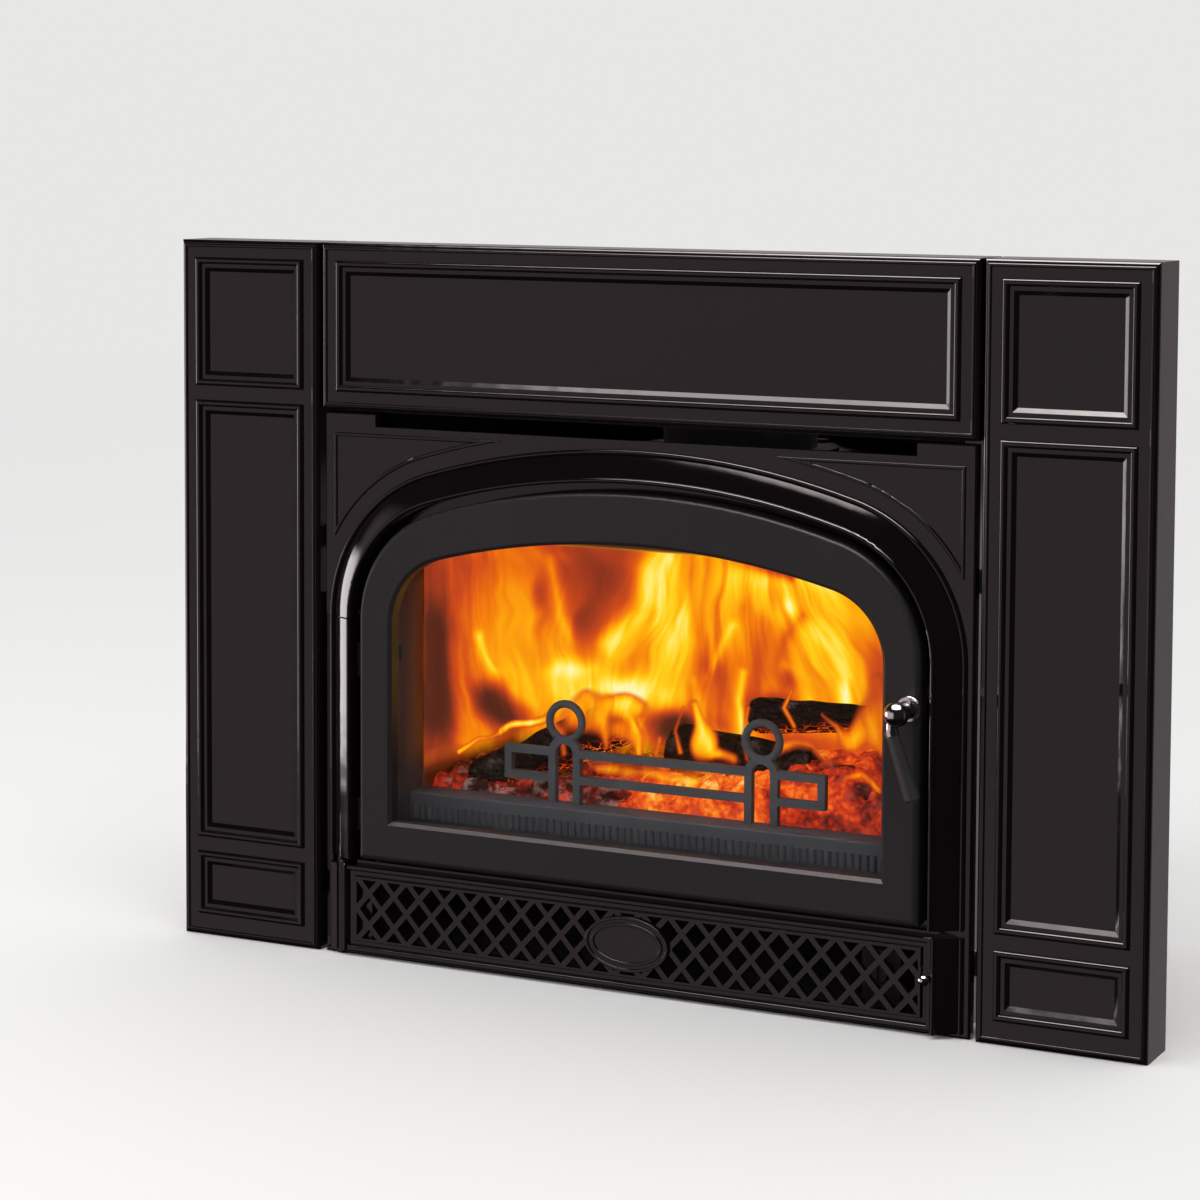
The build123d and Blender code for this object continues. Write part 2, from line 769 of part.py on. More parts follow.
with BuildPart() as keeper_screws:
    for height in keeper_screw_heights:
        room_rod(keeper_screw_x, height, keeper_screw_radius, land_back, keeper_front)
        room_rod(keeper_screw_x, height, keeper_screw_head, keeper_front,
                 keeper_front + keeper_screw_radius)
finish(keeper_screws, "keeper_screws")


# ---- Door ----

def ear_corners(height, gap):
    """Corners of one ear, or of its pocket in the pilaster."""
    return ((pilaster_inner - ear_lap - gap, -door_back - ear_thickness - gap,
             height - ear_height / 2 - gap),
            (-door_half_width + door_edge_radius, -door_back, height + ear_height / 2 + gap))


ear_screw_places = [height + step for height in ear_heights
                    for step in (-ear_screw_spacing / 2, ear_screw_spacing / 2)]
ear_screw_x = pilaster_inner - ear_lap / 2

# Clips behind the glass: two on each upright, two at the foot and one at the crown
glass_half = window_half_width - window_bevel + glass_overlap
clip_outer = glass_half + clip_foot
clip_inner = glass_half - clip_reach
glass_low = window_low + window_bevel - glass_overlap
glass_top = window_top - window_bevel + glass_overlap
clip_areas = []
clip_screw_places = []
for side in (-1, 1):
    for height in clip_heights:
        clip_areas.append((*sorted((side * clip_inner, side * clip_outer)),
                           height - clip_width / 2, height + clip_width / 2))
        clip_screw_places.append((side * (clip_outer - clip_foot / 2), height))
    clip_areas.append((side * clip_foot_x - clip_width / 2, side * clip_foot_x + clip_width / 2,
                       glass_low - clip_foot, glass_low + clip_reach))
    clip_screw_places.append((side * clip_foot_x, glass_low - clip_foot / 2))
clip_areas.append((-clip_width / 2, clip_width / 2, glass_top - clip_reach, glass_top + clip_foot))
clip_screw_places.append((0, glass_top + clip_foot / 2))

with BuildPart() as door_casting:
    with BuildSketch(front(door_back)):
        arch_face(door_inset, door_low)
    extrude(amount=door_thickness)
    fillet(edges_in_front(door_casting.part, door_face), door_edge_radius)
    with BuildSketch(front(door_back)):
        window_face(window_bevel)
    extrude(amount=door_thickness, mode=Mode.SUBTRACT)
    chamfer(edges_in_front(door_casting.part, door_face).filter_by(
        lambda edge: abs(edge.center().X) < window_half_width
        and window_low < edge.center().Z < window_top), window_bevel)
    with BuildSketch(front(door_back)):
        window_face(window_bevel - glass_overlap - glass_play)
    extrude(amount=glass_pocket, mode=Mode.SUBTRACT)
    with BuildSketch(front(door_back)):
        arch_face(rope_inset - rope_width / 2 - turn_gap, rope_low(-rope_width / 2 - turn_gap))
        arch_face(rope_inset + rope_width / 2 + turn_gap, rope_low(rope_width / 2 + turn_gap),
                  mode=Mode.SUBTRACT)
    extrude(amount=rope_groove_depth, mode=Mode.SUBTRACT)
    room_rod(handle_x, handle_z, handle_shaft_radius + turn_gap, door_back, door_face, Mode.SUBTRACT)
    for x, z in clip_screw_places:
        room_rod(x, z, clip_screw_radius + turn_gap, door_back, door_back + clip_screw_length,
                 Mode.SUBTRACT)
    for height in ear_heights:
        block(*ear_corners(height, 0))
    for height in ear_screw_places:
        room_rod(ear_screw_x, height, ear_screw_radius + turn_gap, door_back,
                 door_back + ear_thickness, Mode.SUBTRACT)
finish(door_casting, "door_casting")

with BuildPart() as hinge_pilaster:
    pilaster_head = Plane((-arch_half_width, 0, pilaster_top), x_dir=(1, 0, 0), z_dir=(0, 0, -1))
    with BuildSketch(pilaster_head):
        with BuildLine():
            crest_line(hood_width)
            Polyline((hood_width, casting_face + hood_inner_rise - hood_bead),
                     (hood_width, pilaster_back), (0, pilaster_back), (0, casting_face))
        make_face()
    extrude(amount=pilaster_top - leg_low)
    hinge_bores(leg_low, leg_low + hinge_grip)
    hinge_bores(pilaster_top - hinge_grip, pilaster_top)
    for height in ear_heights:
        low_corner, high_corner = ear_corners(height, seat_gap)
        block((low_corner[0], low_corner[1], low_corner[2]),
              (high_corner[0], -pilaster_back, high_corner[2]), Mode.SUBTRACT)
    for height in ear_screw_places:
        room_rod(ear_screw_x, height, ear_screw_radius + turn_gap, door_back,
                 door_back + ear_screw_length + seat_gap, Mode.SUBTRACT)
finish(hinge_pilaster, "hinge_pilaster")

with BuildPart() as pilaster_screws:
    for height in ear_screw_places:
        room_rod(ear_screw_x, height, ear_screw_radius, door_back, door_back + ear_screw_length)
        room_rod(ear_screw_x, height, ear_screw_head, door_back - ear_screw_radius / 2, door_back)
finish(pilaster_screws, "pilaster_screws")

with BuildPart() as glass_seal:
    with BuildSketch(front(glass_front)):
        window_face(window_bevel - glass_overlap)
        window_face(window_bevel - glass_play, mode=Mode.SUBTRACT)
    extrude(amount=glass_seal_thickness)
finish(glass_seal, "glass_seal")

with BuildPart() as door_glass:
    with BuildSketch(front(glass_back)):
        window_face(window_bevel - glass_overlap)
    extrude(amount=glass_thickness)
finish(door_glass, "door_glass")

with BuildPart() as glass_clips:
    for left, right, low, high in clip_areas:
        block((left, -door_back, low), (right, clip_thickness - door_back, high))
    for x, z in clip_screw_places:
        room_rod(x, z, clip_screw_radius + turn_gap, door_back - clip_thickness, door_back,
                 Mode.SUBTRACT)
finish(glass_clips, "glass_clips")

with BuildPart() as clip_screws:
    for x, z in clip_screw_places:
        room_rod(x, z, clip_screw_radius, door_back - clip_thickness, door_back + clip_screw_length)
        room_rod(x, z, clip_screw_head, door_back - clip_thickness - clip_screw_head_thickness,
                 door_back - clip_thickness)
finish(clip_screws, "clip_screws")

with BuildPart() as door_rope:
    with BuildSketch(front(land_face + seat_gap)):
        arch_face(rope_inset - rope_width / 2, rope_low(-rope_width / 2))
        arch_face(rope_inset + rope_width / 2, rope_low(rope_width / 2), mode=Mode.SUBTRACT)
    extrude(amount=door_back + rope_groove_depth - land_face - seat_gap)
    fillet(edges_in_front(door_rope.part, land_face + seat_gap), rope_rounding)
finish(door_rope, "door_rope")


# ---- Handle and latch ----

with BuildPart() as handle_escutcheon:
    room_rod(handle_x, handle_z, escutcheon_radius, door_face, door_face + escutcheon_thickness)
    fillet(edges_in_front(handle_escutcheon.part, door_face + escutcheon_thickness),
           escutcheon_thickness / 2)
    room_rod(handle_x, handle_z, handle_shaft_radius + turn_gap, door_face,
             door_face + escutcheon_thickness, Mode.SUBTRACT)
finish(handle_escutcheon, "handle_escutcheon")

# The hub turns on the shaft; a bent neck leaves its head and ends in line with the grip
with BuildPart() as handle_hub:
    hub_plane = Plane((handle_x, 0, handle_z), x_dir=(1, 0, 0), z_dir=(0, 0, 1))
    with BuildSketch(hub_plane):
        with BuildLine():
            waist_step = (hub_head_radius ** 2 - hub_waist_radius ** 2) ** 0.5
            waist_end = (hub_waist_radius, waist_step - grip_reach)
            Polyline((0, -hub_front), (0, -hub_back), (hub_base_radius, -hub_back),
                     (hub_base_radius, -hub_back - hub_collar),
                     (hub_waist_radius, -hub_back - 2 * hub_collar), waist_end)
            ThreePointArc(waist_end, (hub_head_radius, -grip_reach), (0, -hub_front))
        make_face()
    revolve(axis=Axis((handle_x, 0, handle_z), (0, -1, 0)))
    room_rod(handle_x, handle_z, handle_shaft_radius + turn_gap, hub_back, hub_back + shaft_grip,
             Mode.SUBTRACT)
    with BuildLine():
        neck = ThreePointArc((handle_x, -grip_reach, handle_z),
                             (handle_x - neck_bulge, -grip_reach, handle_z - neck_drop / 2),
                             grip_start)
    with BuildSketch(Plane(neck @ 0, z_dir=neck % 0)):
        Circle(neck_radius)
    sweep()
    with BuildSketch(Plane(grip_start, z_dir=grip_direction).offset(-ferrule_length)):
        Circle(ferrule_radius)
    extrude(amount=ferrule_length)
finish(handle_hub, "handle_hub")

with BuildPart() as handle_grip:
    grip_plane = Plane(grip_start, z_dir=grip_direction)
    with BuildSketch(grip_plane):
        Circle(grip_start_radius)
    with BuildSketch(grip_plane.offset(grip_length)):
        Circle(grip_end_radius)
    loft()
    fillet(handle_grip.edges().sort_by(Axis.Z)[0], grip_end_rounding)
    fillet(handle_grip.edges().sort_by(Axis.Z)[-1], grip_end_rounding / 2)
finish(handle_grip, "handle_grip")

with BuildPart() as handle_shaft:
    room_rod(handle_x, handle_z, handle_shaft_radius, pawl_front - pawl_thickness - nut_thickness,
             hub_back + shaft_grip)
    room_rod(handle_x, handle_z, pawl_boss_radius, pawl_front, door_back - seat_gap)
finish(handle_shaft, "handle_shaft")

with BuildPart() as latch_pawl:
    with BuildSketch(Plane((handle_x, -pawl_front + pawl_thickness, handle_z),
                           x_dir=(cos(radians(pawl_angle)), 0, sin(radians(pawl_angle))),
                           z_dir=(0, -1, 0))):
        Circle(pawl_boss_radius)
        with Locations((pawl_length / 2, 0)):
            Rectangle(pawl_length, pawl_width)
        Circle(handle_shaft_radius + turn_gap, mode=Mode.SUBTRACT)
    extrude(amount=pawl_thickness)
finish(latch_pawl, "latch_pawl")

with BuildPart() as pawl_nut:
    with BuildSketch(front(pawl_front - pawl_thickness - nut_thickness)):
        with Locations((handle_x, handle_z)):
            RegularPolygon(nut_radius, 6)
            Circle(handle_shaft_radius + turn_gap, mode=Mode.SUBTRACT)
    extrude(amount=nut_thickness)
finish(pawl_nut, "pawl_nut")


# ---- Lower grille door ----

with BuildPart() as grille_pilaster:
    with BuildSketch(Plane((-arch_half_width, 0, plinth_high), x_dir=(1, 0, 0), z_dir=(0, 0, -1))):
        with BuildLine():
            Line((0, pilaster_back), (0, plinth_shoulder - hood_bead))
            ThreePointArc((0, plinth_shoulder - hood_bead), (hood_bead / 3, plinth_shoulder - hood_bead / 3),
                          (hood_bead, plinth_shoulder))
            Polyline((hood_bead, plinth_shoulder), (plinth_flat, plinth_shoulder + plinth_slope),
                     (plinth_flat + plinth_groove_side, plinth_groove_floor),
                     (plinth_bead_start - plinth_groove_side, plinth_groove_floor),
                     (plinth_bead_start, plinth_shoulder + plinth_slope))
            ThreePointArc((plinth_bead_start, plinth_shoulder + plinth_slope),
                          ((plinth_bead_start + grille_pilaster_width) / 2, plinth_bead_top),
                          (grille_pilaster_width, plinth_shoulder + plinth_slope))
            Polyline((grille_pilaster_width, plinth_shoulder + plinth_slope),
                     (grille_pilaster_width, pilaster_back), (0, pilaster_back))
        make_face()
    extrude(amount=plinth_high - plinth_low)
    chamfer(grille_pilaster.edges().group_by(Axis.Z)[-1].filter_by(
        lambda edge: edge.center().Y < -plinth_shoulder), plinth_bevel)
    hinge_bores(plinth_low, plinth_low + hinge_grip)
    hinge_bores(plinth_high - hinge_grip, plinth_high)
finish(grille_pilaster, "grille_pilaster")

grille_left = grille_pilaster_width - arch_half_width
lattice_left = grille_left + grille_groove_left
lattice_right = grille_right - grille_border - grille_groove
lattice_low = grille_low + grille_border + grille_groove
lattice_high = grille_high - grille_border - grille_groove
lattice_centre = ((lattice_left + lattice_right) / 2, (lattice_low + lattice_high) / 2)
lattice_width = lattice_right - lattice_left
lattice_height = lattice_high - lattice_low
frame_front = grille_back + grille_plate + grille_frame_rise
lattice_front = grille_back + grille_plate + lattice_rise
hole_share = 1 - lattice_bar * hypot(lattice_pitch, lattice_step) / (lattice_pitch * lattice_step)


def diamond_row(count, height):
    """Row of diamond openings at one height."""
    with Locations((badge_x, height)):
        with GridLocations(lattice_pitch, lattice_step, count, 1):
            Polygon((hole_share * lattice_pitch / 2, 0), (0, hole_share * lattice_step / 2),
                    (-hole_share * lattice_pitch / 2, 0), (0, -hole_share * lattice_step / 2))


with BuildPart() as lower_grille:
    with BuildSketch(front(grille_back)):
        with Locations(((grille_left + grille_right) / 2, (grille_low + grille_high) / 2)):
            Rectangle(grille_right - grille_left, grille_high - grille_low)
    extrude(amount=grille_plate)
    with BuildSketch(front(grille_back + grille_plate)):
        with Locations(((grille_left + grille_right) / 2, (grille_low + grille_high) / 2)):
            Rectangle(grille_right - grille_left, grille_high - grille_low)
        with Locations(((grille_left + grille_right - grille_border) / 2,
                        (grille_low + grille_high) / 2)):
            Rectangle(grille_right - grille_left - grille_border,
                      grille_high - grille_low - 2 * grille_border, mode=Mode.SUBTRACT)
    extrude(amount=grille_frame_rise)
    fillet(edges_in_front(lower_grille.part, frame_front), grille_frame_rounding)
    with BuildSketch(front(grille_back + grille_plate)):
        with Locations(lattice_centre):
            Rectangle(lattice_width, lattice_height)
    extrude(amount=lattice_rise)
    fillet(edges_in_front(lower_grille.part, lattice_front), lattice_rounding)
    with BuildSketch(front(grille_back)):
        diamond_row(lattice_columns, badge_z)
        for step in (-1, 1):
            diamond_row(lattice_columns + 1, badge_z + step * lattice_step / 2)
            diamond_row(lattice_columns, badge_z + step * lattice_step)
        with Locations(lattice_centre):
            Rectangle(lattice_width - 2 * lattice_margin, lattice_height - 2 * lattice_margin,
                      mode=Mode.INTERSECT)
        with Locations((badge_x, badge_z)):
            Ellipse(badge_half_width, badge_half_height, mode=Mode.SUBTRACT)
    extrude(amount=grille_plate + lattice_rise, mode=Mode.SUBTRACT)
finish(lower_grille, "lower_grille")

with BuildPart() as grille_badge:
    badge_middle = (badge_x, badge_z)
    with BuildSketch(front(lattice_front)):
        with Locations(badge_middle):
            Ellipse(badge_half_width, badge_half_height)
    extrude(amount=badge_thickness)
    for inset in (0, badge_ring_spacing):
        with BuildSketch(front(lattice_front + badge_thickness)):
            with Locations(badge_middle):
                Ellipse(badge_half_width - inset, badge_half_height - inset)
                Ellipse(badge_half_width - inset - badge_ring, badge_half_height - inset - badge_ring,
                        mode=Mode.SUBTRACT)
        extrude(amount=badge_ring_height)
    fillet(edges_in_front(grille_badge.part, lattice_front + badge_thickness + badge_ring_height),
           badge_ring_rounding)
finish(grille_badge, "grille_badge")

with BuildPart() as grille_knob:
    room_rod(knob_x, knob_z, knob_stem_radius, frame_front, frame_front + knob_length - knob_radius)
    with Locations((knob_x, -frame_front - knob_length + knob_radius, knob_z)):
        Sphere(knob_radius)
finish(grille_knob, "grille_knob")


# ---- Throat, firebox and its linings ----

with BuildPart() as throat_frame:
    with BuildSketch(front(-throat_back)):
        arch_face(throat_inset - throat_wall, throat_low - throat_wall)
        arch_face(throat_inset, throat_low, mode=Mode.SUBTRACT)
    extrude(amount=throat_length)
finish(throat_frame, "throat_frame")

with BuildPart() as firebox_shell:
    block((-firebox_half_width, -land_back, base_thickness), (firebox_half_width, firebox_depth, firebox_top))
    block((-firebox_inner, -land_back, base_thickness),
          (firebox_inner, firebox_depth - firebox_plate, firebox_floor), Mode.SUBTRACT)
    block((-firebox_inner, -land_back, brick_floor),
          (firebox_inner, firebox_depth - firebox_plate, firebox_top - firebox_plate), Mode.SUBTRACT)
    block((-firebox_inner, firebox_depth - firebox_plate, base_thickness),
          (firebox_inner, firebox_depth, firebox_floor), Mode.SUBTRACT)
    block((-firebox_half_width, -land_back, firebox_top),
          (firebox_half_width, firebox_plate - land_back, firebox_top + flange_height))
    upright_rod(0, flue_depth, flue_bore_radius + flue_wall / 2, firebox_top - firebox_plate,
                firebox_top, Mode.SUBTRACT)
    for x in flange_bolt_places:
        room_rod(x, flange_bolt_height, flange_bolt_radius + turn_gap,
                 land_back - firebox_plate, land_back, Mode.SUBTRACT)
    for x, y in polar_places(flue_bolt_circle, flue_bolt_count):
        upright_rod(x, y + flue_depth, flue_bolt_radius + turn_gap, firebox_top - firebox_plate,
                    firebox_top, Mode.SUBTRACT)
    for hole in air_hole_places:
        upright_rod(hole, air_slide_y, air_hole_radius, firebox_floor, brick_floor, Mode.SUBTRACT)
finish(firebox_shell, "firebox_shell")

with BuildPart() as flange_bolts:
    for x in flange_bolt_places:
        room_rod(x, flange_bolt_height, flange_bolt_radius, land_back - firebox_plate,
                 land_back + flange_bolt_grip)
        with BuildSketch(front(land_back - firebox_plate)):
            with Locations((x, flange_bolt_height)):
                RegularPolygon(flange_bolt_head, 6)
        extrude(amount=-flange_bolt_radius)
finish(flange_bolts, "flange_bolts")


def brick_row(start, end, count):
    """Pairs of ends for bricks laid in a row with joints between them."""
    length = (end - start + brick_joint) / count
    return [(start + index * length, start + (index + 1) * length - brick_joint)
            for index in range(count)]


with BuildPart() as floor_bricks:
    for left, right in brick_row(brick_joint - brick_inner, brick_inner - brick_joint, brick_columns):
        for near, far in brick_row(brick_front, brick_back, floor_brick_rows):
            block((left, near, brick_floor), (right, far, hearth_top))
finish(floor_bricks, "floor_bricks")

with BuildPart() as rear_bricks:
    for left, right in brick_row(brick_joint - brick_inner, brick_inner - brick_joint, brick_columns):
        block((left, brick_back - brick_thickness, hearth_top), (right, brick_back, rear_brick_top))
finish(rear_bricks, "rear_bricks")

with BuildPart() as left_bricks:
    for near, far in brick_row(brick_front, brick_back, side_brick_rows):
        block((-firebox_inner, near, brick_floor), (-brick_inner, far, side_brick_top))
finish(left_bricks, "left_bricks")

with BuildPart() as right_bricks:
    for near, far in brick_row(brick_front, brick_back, side_brick_rows):
        block((brick_inner, near, brick_floor), (firebox_inner, far, side_brick_top))
finish(right_bricks, "right_bricks")

with BuildPart() as air_tubes:
    for depth in tube_depths:
        cross_rod(depth, tube_height, tube_radius, -firebox_inner, firebox_inner)
        cross_rod(depth, tube_height, tube_bore_radius, -firebox_inner, firebox_inner, Mode.SUBTRACT)
finish(air_tubes, "air_tubes")

with BuildPart() as baffle_board:
    baffle_low = tube_height + tube_radius
    block((-brick_inner + brick_joint, baffle_front, baffle_low),
          (brick_inner - brick_joint, brick_back - brick_thickness, baffle_low + baffle_thickness))
finish(baffle_board, "baffle_board")


# ---- Casing, base and flue ----

with BuildPart() as outer_jacket:
    block((-jacket_half_width, -land_face, base_thickness), (jacket_half_width, jacket_depth, jacket_top))
    block((sheet - jacket_half_width, -land_face, base_thickness),
          (jacket_half_width - sheet, jacket_depth - sheet, jacket_top - sheet), Mode.SUBTRACT)
    block((-jacket_half_width, -land_face, base_thickness),
          (channel_right, channel_wall - channel_back + seat_gap,
           top_lug_low + top_lug_height + channel_wall + seat_gap), Mode.SUBTRACT)
    upright_rod(0, flue_depth, flue_flange_radius + sheet, jacket_top - sheet, jacket_top, Mode.SUBTRACT)
finish(outer_jacket, "outer_jacket")

with BuildPart() as base_plate:
    block((-jacket_half_width, -base_front, 0), (jacket_half_width, jacket_depth, base_thickness))
    for x, y in foot_places:
        upright_rod(x, y, foot_boss_radius, 0, base_thickness + foot_boss_height)
    for x, y in foot_places:
        upright_rod(x, y, foot_bolt_radius + turn_gap, 0, base_thickness + foot_boss_height, Mode.SUBTRACT)
finish(base_plate, "base_plate")

with BuildPart() as levelling_bolts:
    for x, y in foot_places:
        upright_rod(x, y, foot_bolt_radius, 0, foot_bolt_length)
        with BuildSketch(level(foot_bolt_length)):
            with Locations((x, y)):
                RegularPolygon(foot_bolt_head, 6)
        extrude(amount=foot_bolt_radius)
finish(levelling_bolts, "levelling_bolts")

with BuildPart() as flue_collar:
    upright_rod(0, flue_depth, flue_flange_radius, firebox_top, firebox_top + flue_flange_thickness)
    upright_rod(0, flue_depth, flue_bore_radius + flue_wall, firebox_top, flue_top)
    upright_rod(0, flue_depth, flue_bore_radius, firebox_top, flue_top, Mode.SUBTRACT)
    for x, y in polar_places(flue_bolt_circle, flue_bolt_count):
        upright_rod(x, y + flue_depth, flue_bolt_radius + turn_gap, firebox_top,
                    firebox_top + flue_flange_thickness, Mode.SUBTRACT)
finish(flue_collar, "flue_collar")

with BuildPart() as flue_bolts:
    for x, y in polar_places(flue_bolt_circle, flue_bolt_count):
        upright_rod(x, y + flue_depth, flue_bolt_radius, firebox_top - firebox_plate,
                    firebox_top + flue_flange_thickness)
        with BuildSketch(level(firebox_top + flue_flange_thickness)):
            with Locations((x, y + flue_depth)):
                RegularPolygon(flue_bolt_head, 6)
        extrude(amount=flue_bolt_radius)
finish(flue_bolts, "flue_bolts")


# ---- Fire bed ----

fender_half = throat_half_width - brick_joint
fender_top = throat_low + fender_height
flute_count = int(2 * (fender_half - flute_radius) / flute_pitch)
with BuildPart() as fluted_fender:
    block((-fender_half, -fender_front, throat_low), (fender_half, fender_wall - fender_front, fender_top))
    block((-fender_half, -fender_front, fender_top - fender_wall),
          (fender_half, fender_depth - fender_front, fender_top))
    fillet(fluted_fender.edges().filter_by(Axis.X).sort_by(Axis.Y).group_by(Axis.Y)[0].sort_by(Axis.Z)[-1],
           fender_wall / 3)
    with BuildSketch(level(flute_low)):
        with Locations((0, -fender_front)):
            with GridLocations(flute_pitch, flute_pitch, flute_count, 1):
                Circle(flute_radius)
    extrude(amount=flute_height)
finish(fluted_fender, "fluted_fender")

rail_segments = ((-rail_half_length, -ring_spacing / 2 - post_spacing / 2),
                 (-ring_spacing / 2 + post_spacing / 2, ring_spacing / 2 - post_spacing / 2),
                 (ring_spacing / 2 + post_spacing / 2, rail_half_length))
bar_near = retainer_depth - retainer_bar / 2
bar_far = retainer_depth + retainer_bar / 2
arch_foot = ring_height - ring_radius - post_spacing / 2
with BuildPart() as log_retainer:
    for left, right in rail_segments:
        for height in rail_heights:
            block((left, bar_near, height - retainer_bar / 2), (right, bar_far, height + retainer_bar / 2))
    for side in (-1, 1):
        ends = sorted((side * rail_half_length, side * (rail_half_length - retainer_bar)))
        block((ends[0], bar_near, rail_heights[0]), (ends[1], bar_far, rail_heights[1]))
    for ring_x in (-ring_spacing / 2, ring_spacing / 2):
        for side in (-1, 1):
            post = ring_x + side * post_spacing / 2
            block((post - retainer_bar / 2, bar_near, fender_top),
                  (post + retainer_bar / 2, bar_far, arch_foot))
        with BuildSketch(front(-retainer_depth)):
            with Locations((ring_x, arch_foot)):
                Circle(post_spacing / 2 + retainer_bar / 2)
                Circle(post_spacing / 2 - retainer_bar / 2, mode=Mode.SUBTRACT)
                with Locations((0, -post_spacing)):
                    Rectangle(2 * post_spacing, 2 * post_spacing, mode=Mode.SUBTRACT)
        extrude(amount=retainer_bar / 2, both=True)
        with BuildSketch(Plane((ring_x, retainer_depth, ring_height), x_dir=(1, 0, 0), z_dir=(0, 0, 1))):
            with Locations((ring_radius, 0)):
                Circle(retainer_bar / 2)
        revolve(axis=Axis((ring_x, retainer_depth, ring_height), (0, 1, 0)))
finish(log_retainer, "log_retainer")

# Fuel: each log is a tapered round, given by its middle, length, end radii, lean and turn
logs = {"left_log": ((-155, 70, 208), 195, 25, 27, 26, 4),
        "centre_log": ((52, 96, 208), 170, 31, 34, -4, -6),
        "upper_log": ((122, 120, 260.2), 140, 20, 15, 2, 8),
        "rear_log": ((0, 226, 214), 380, 38, 34, 2, -3)}


def log_plane(middle, length, lean, turn):
    """Plane across the low end of a log, facing along it."""
    along = (cos(radians(lean)) * cos(radians(turn)), cos(radians(lean)) * sin(radians(turn)),
             sin(radians(lean)))
    return Plane(middle, z_dir=along).offset(-length / 2)


def log_round(middle, length, start_radius, end_radius, lean, turn, gap=0.0, mode=Mode.ADD):
    """Tapered round along the log; a gap makes the hollow that the log lies in."""
    low_end = log_plane(middle, length, lean, turn)
    with BuildSketch(low_end.offset(-gap)) as start:
        Circle(start_radius + gap)
    with BuildSketch(low_end.offset(length + gap)) as end:
        Circle(end_radius + gap)
    loft([start.sketch, end.sketch], mode=mode)


for name, sizes in logs.items():
    with BuildPart() as log:
        log_round(*sizes)
        chamfer(log.edges().filter_by(GeomType.CIRCLE), log_chamfer)
    finish(log, name)

with BuildPart() as ember_bed:
    with BuildSketch(front(-bed_front)):
        with BuildLine():
            bed_half = brick_inner - brick_joint
            Spline((-bed_half, bed_left_height), *bed_crest, (bed_half, bed_right_height))
            Polyline((bed_half, bed_right_height), (bed_half, hearth_top + seat_gap),
                     (-bed_half, hearth_top + seat_gap), (-bed_half, bed_left_height))
        make_face()
    extrude(amount=bed_front - (brick_back - brick_thickness - brick_joint))
    for sizes in logs.values():
        log_round(*sizes, gap=seat_gap, mode=Mode.SUBTRACT)
finish(ember_bed, "ember_bed")


# ---- Air controls ----

slide_high = firebox_floor - seat_gap
slide_low = slide_high - air_plate
rail_low = slide_low - air_rail_lip
slide_left = air_slide_x - air_slide_width / 2
slide_right = air_slide_x + air_slide_width / 2
slide_near = air_slide_y - air_slide_depth / 2
slide_far = air_slide_y + air_slide_depth / 2

with BuildPart() as air_rails:
    for edge, outward in ((slide_near, -1), (slide_far, 1)):
        web = sorted((edge + outward * seat_gap, edge + outward * (seat_gap + air_rail_web)))
        lip = sorted((edge + outward * (seat_gap + air_rail_web), edge - outward * air_rail_lap))
        block((slide_left - air_travel, web[0], rail_low),
              (slide_right + air_travel, web[1], firebox_floor))
        block((slide_left - air_travel, lip[0], rail_low),
              (slide_right + air_travel, lip[1], rail_low + air_rail_lip - seat_gap))
finish(air_rails, "air_rails")

with BuildPart() as air_slide:
    block((slide_left, slide_near, slide_low), (slide_right, slide_far, slide_high))
    for hole in air_hole_places:
        upright_rod(hole, air_slide_y, air_hole_radius, slide_low, slide_high, Mode.SUBTRACT)
finish(air_slide, "air_slide")

with BuildPart() as air_lever:
    block((air_slide_x - air_lever_width / 2, air_slide_y - air_lever_sheet,
           air_lever_height - air_lever_radius),
          (air_slide_x + air_lever_width / 2, air_slide_y, slide_low))
    room_rod(air_slide_x, air_lever_height, air_lever_radius, -air_slide_y, air_lever_reach)
    with Locations((air_slide_x, -air_lever_reach, air_lever_height)):
        Sphere(air_knob_radius)
finish(air_lever, "air_lever")


# ---- Fan ----

fan_half = fan_length / 2
fan_end = fan_half + fan_gap
fan_box = fan_radius + fan_gap

with BuildPart() as fan_rotor:
    for place in (-fan_half, -fan_disc / 2, fan_half - fan_disc):
        cross_rod(fan_y, fan_z, fan_radius, place, place + fan_disc)
    with BuildSketch(Plane.YZ.offset(-fan_half)):
        with Locations((fan_y, fan_z)):
            with PolarLocations((fan_radius + fan_bore_radius) / 2, fan_blade_count):
                Rectangle(fan_radius - fan_bore_radius, fan_blade_thickness)
    extrude(amount=fan_length)
    cross_rod(fan_y, fan_z, fan_shaft_radius, -fan_end - sheet, fan_end + sheet + fan_gap)
finish(fan_rotor, "fan_rotor")

with BuildPart() as fan_housing:
    block((-fan_end - sheet, fan_y - fan_box - sheet, base_thickness),
          (fan_end + sheet, fan_y + fan_box + sheet, fan_z + fan_box + sheet))
    block((-fan_end, fan_y - fan_box, base_thickness + sheet), (fan_end, fan_y + fan_box, fan_z + fan_box),
          Mode.SUBTRACT)
    block((-fan_half, fan_y - fan_box - sheet, fan_z - fan_bore_radius), (fan_half, fan_y - fan_box, fan_z),
          Mode.SUBTRACT)
    block((-fan_half, fan_y, fan_z + fan_box), (fan_half, fan_y + fan_box, fan_z + fan_box + sheet),
          Mode.SUBTRACT)
    cross_rod(fan_y, fan_z, fan_shaft_radius + turn_gap, -fan_end - sheet, fan_end + sheet, Mode.SUBTRACT)
finish(fan_housing, "fan_housing")

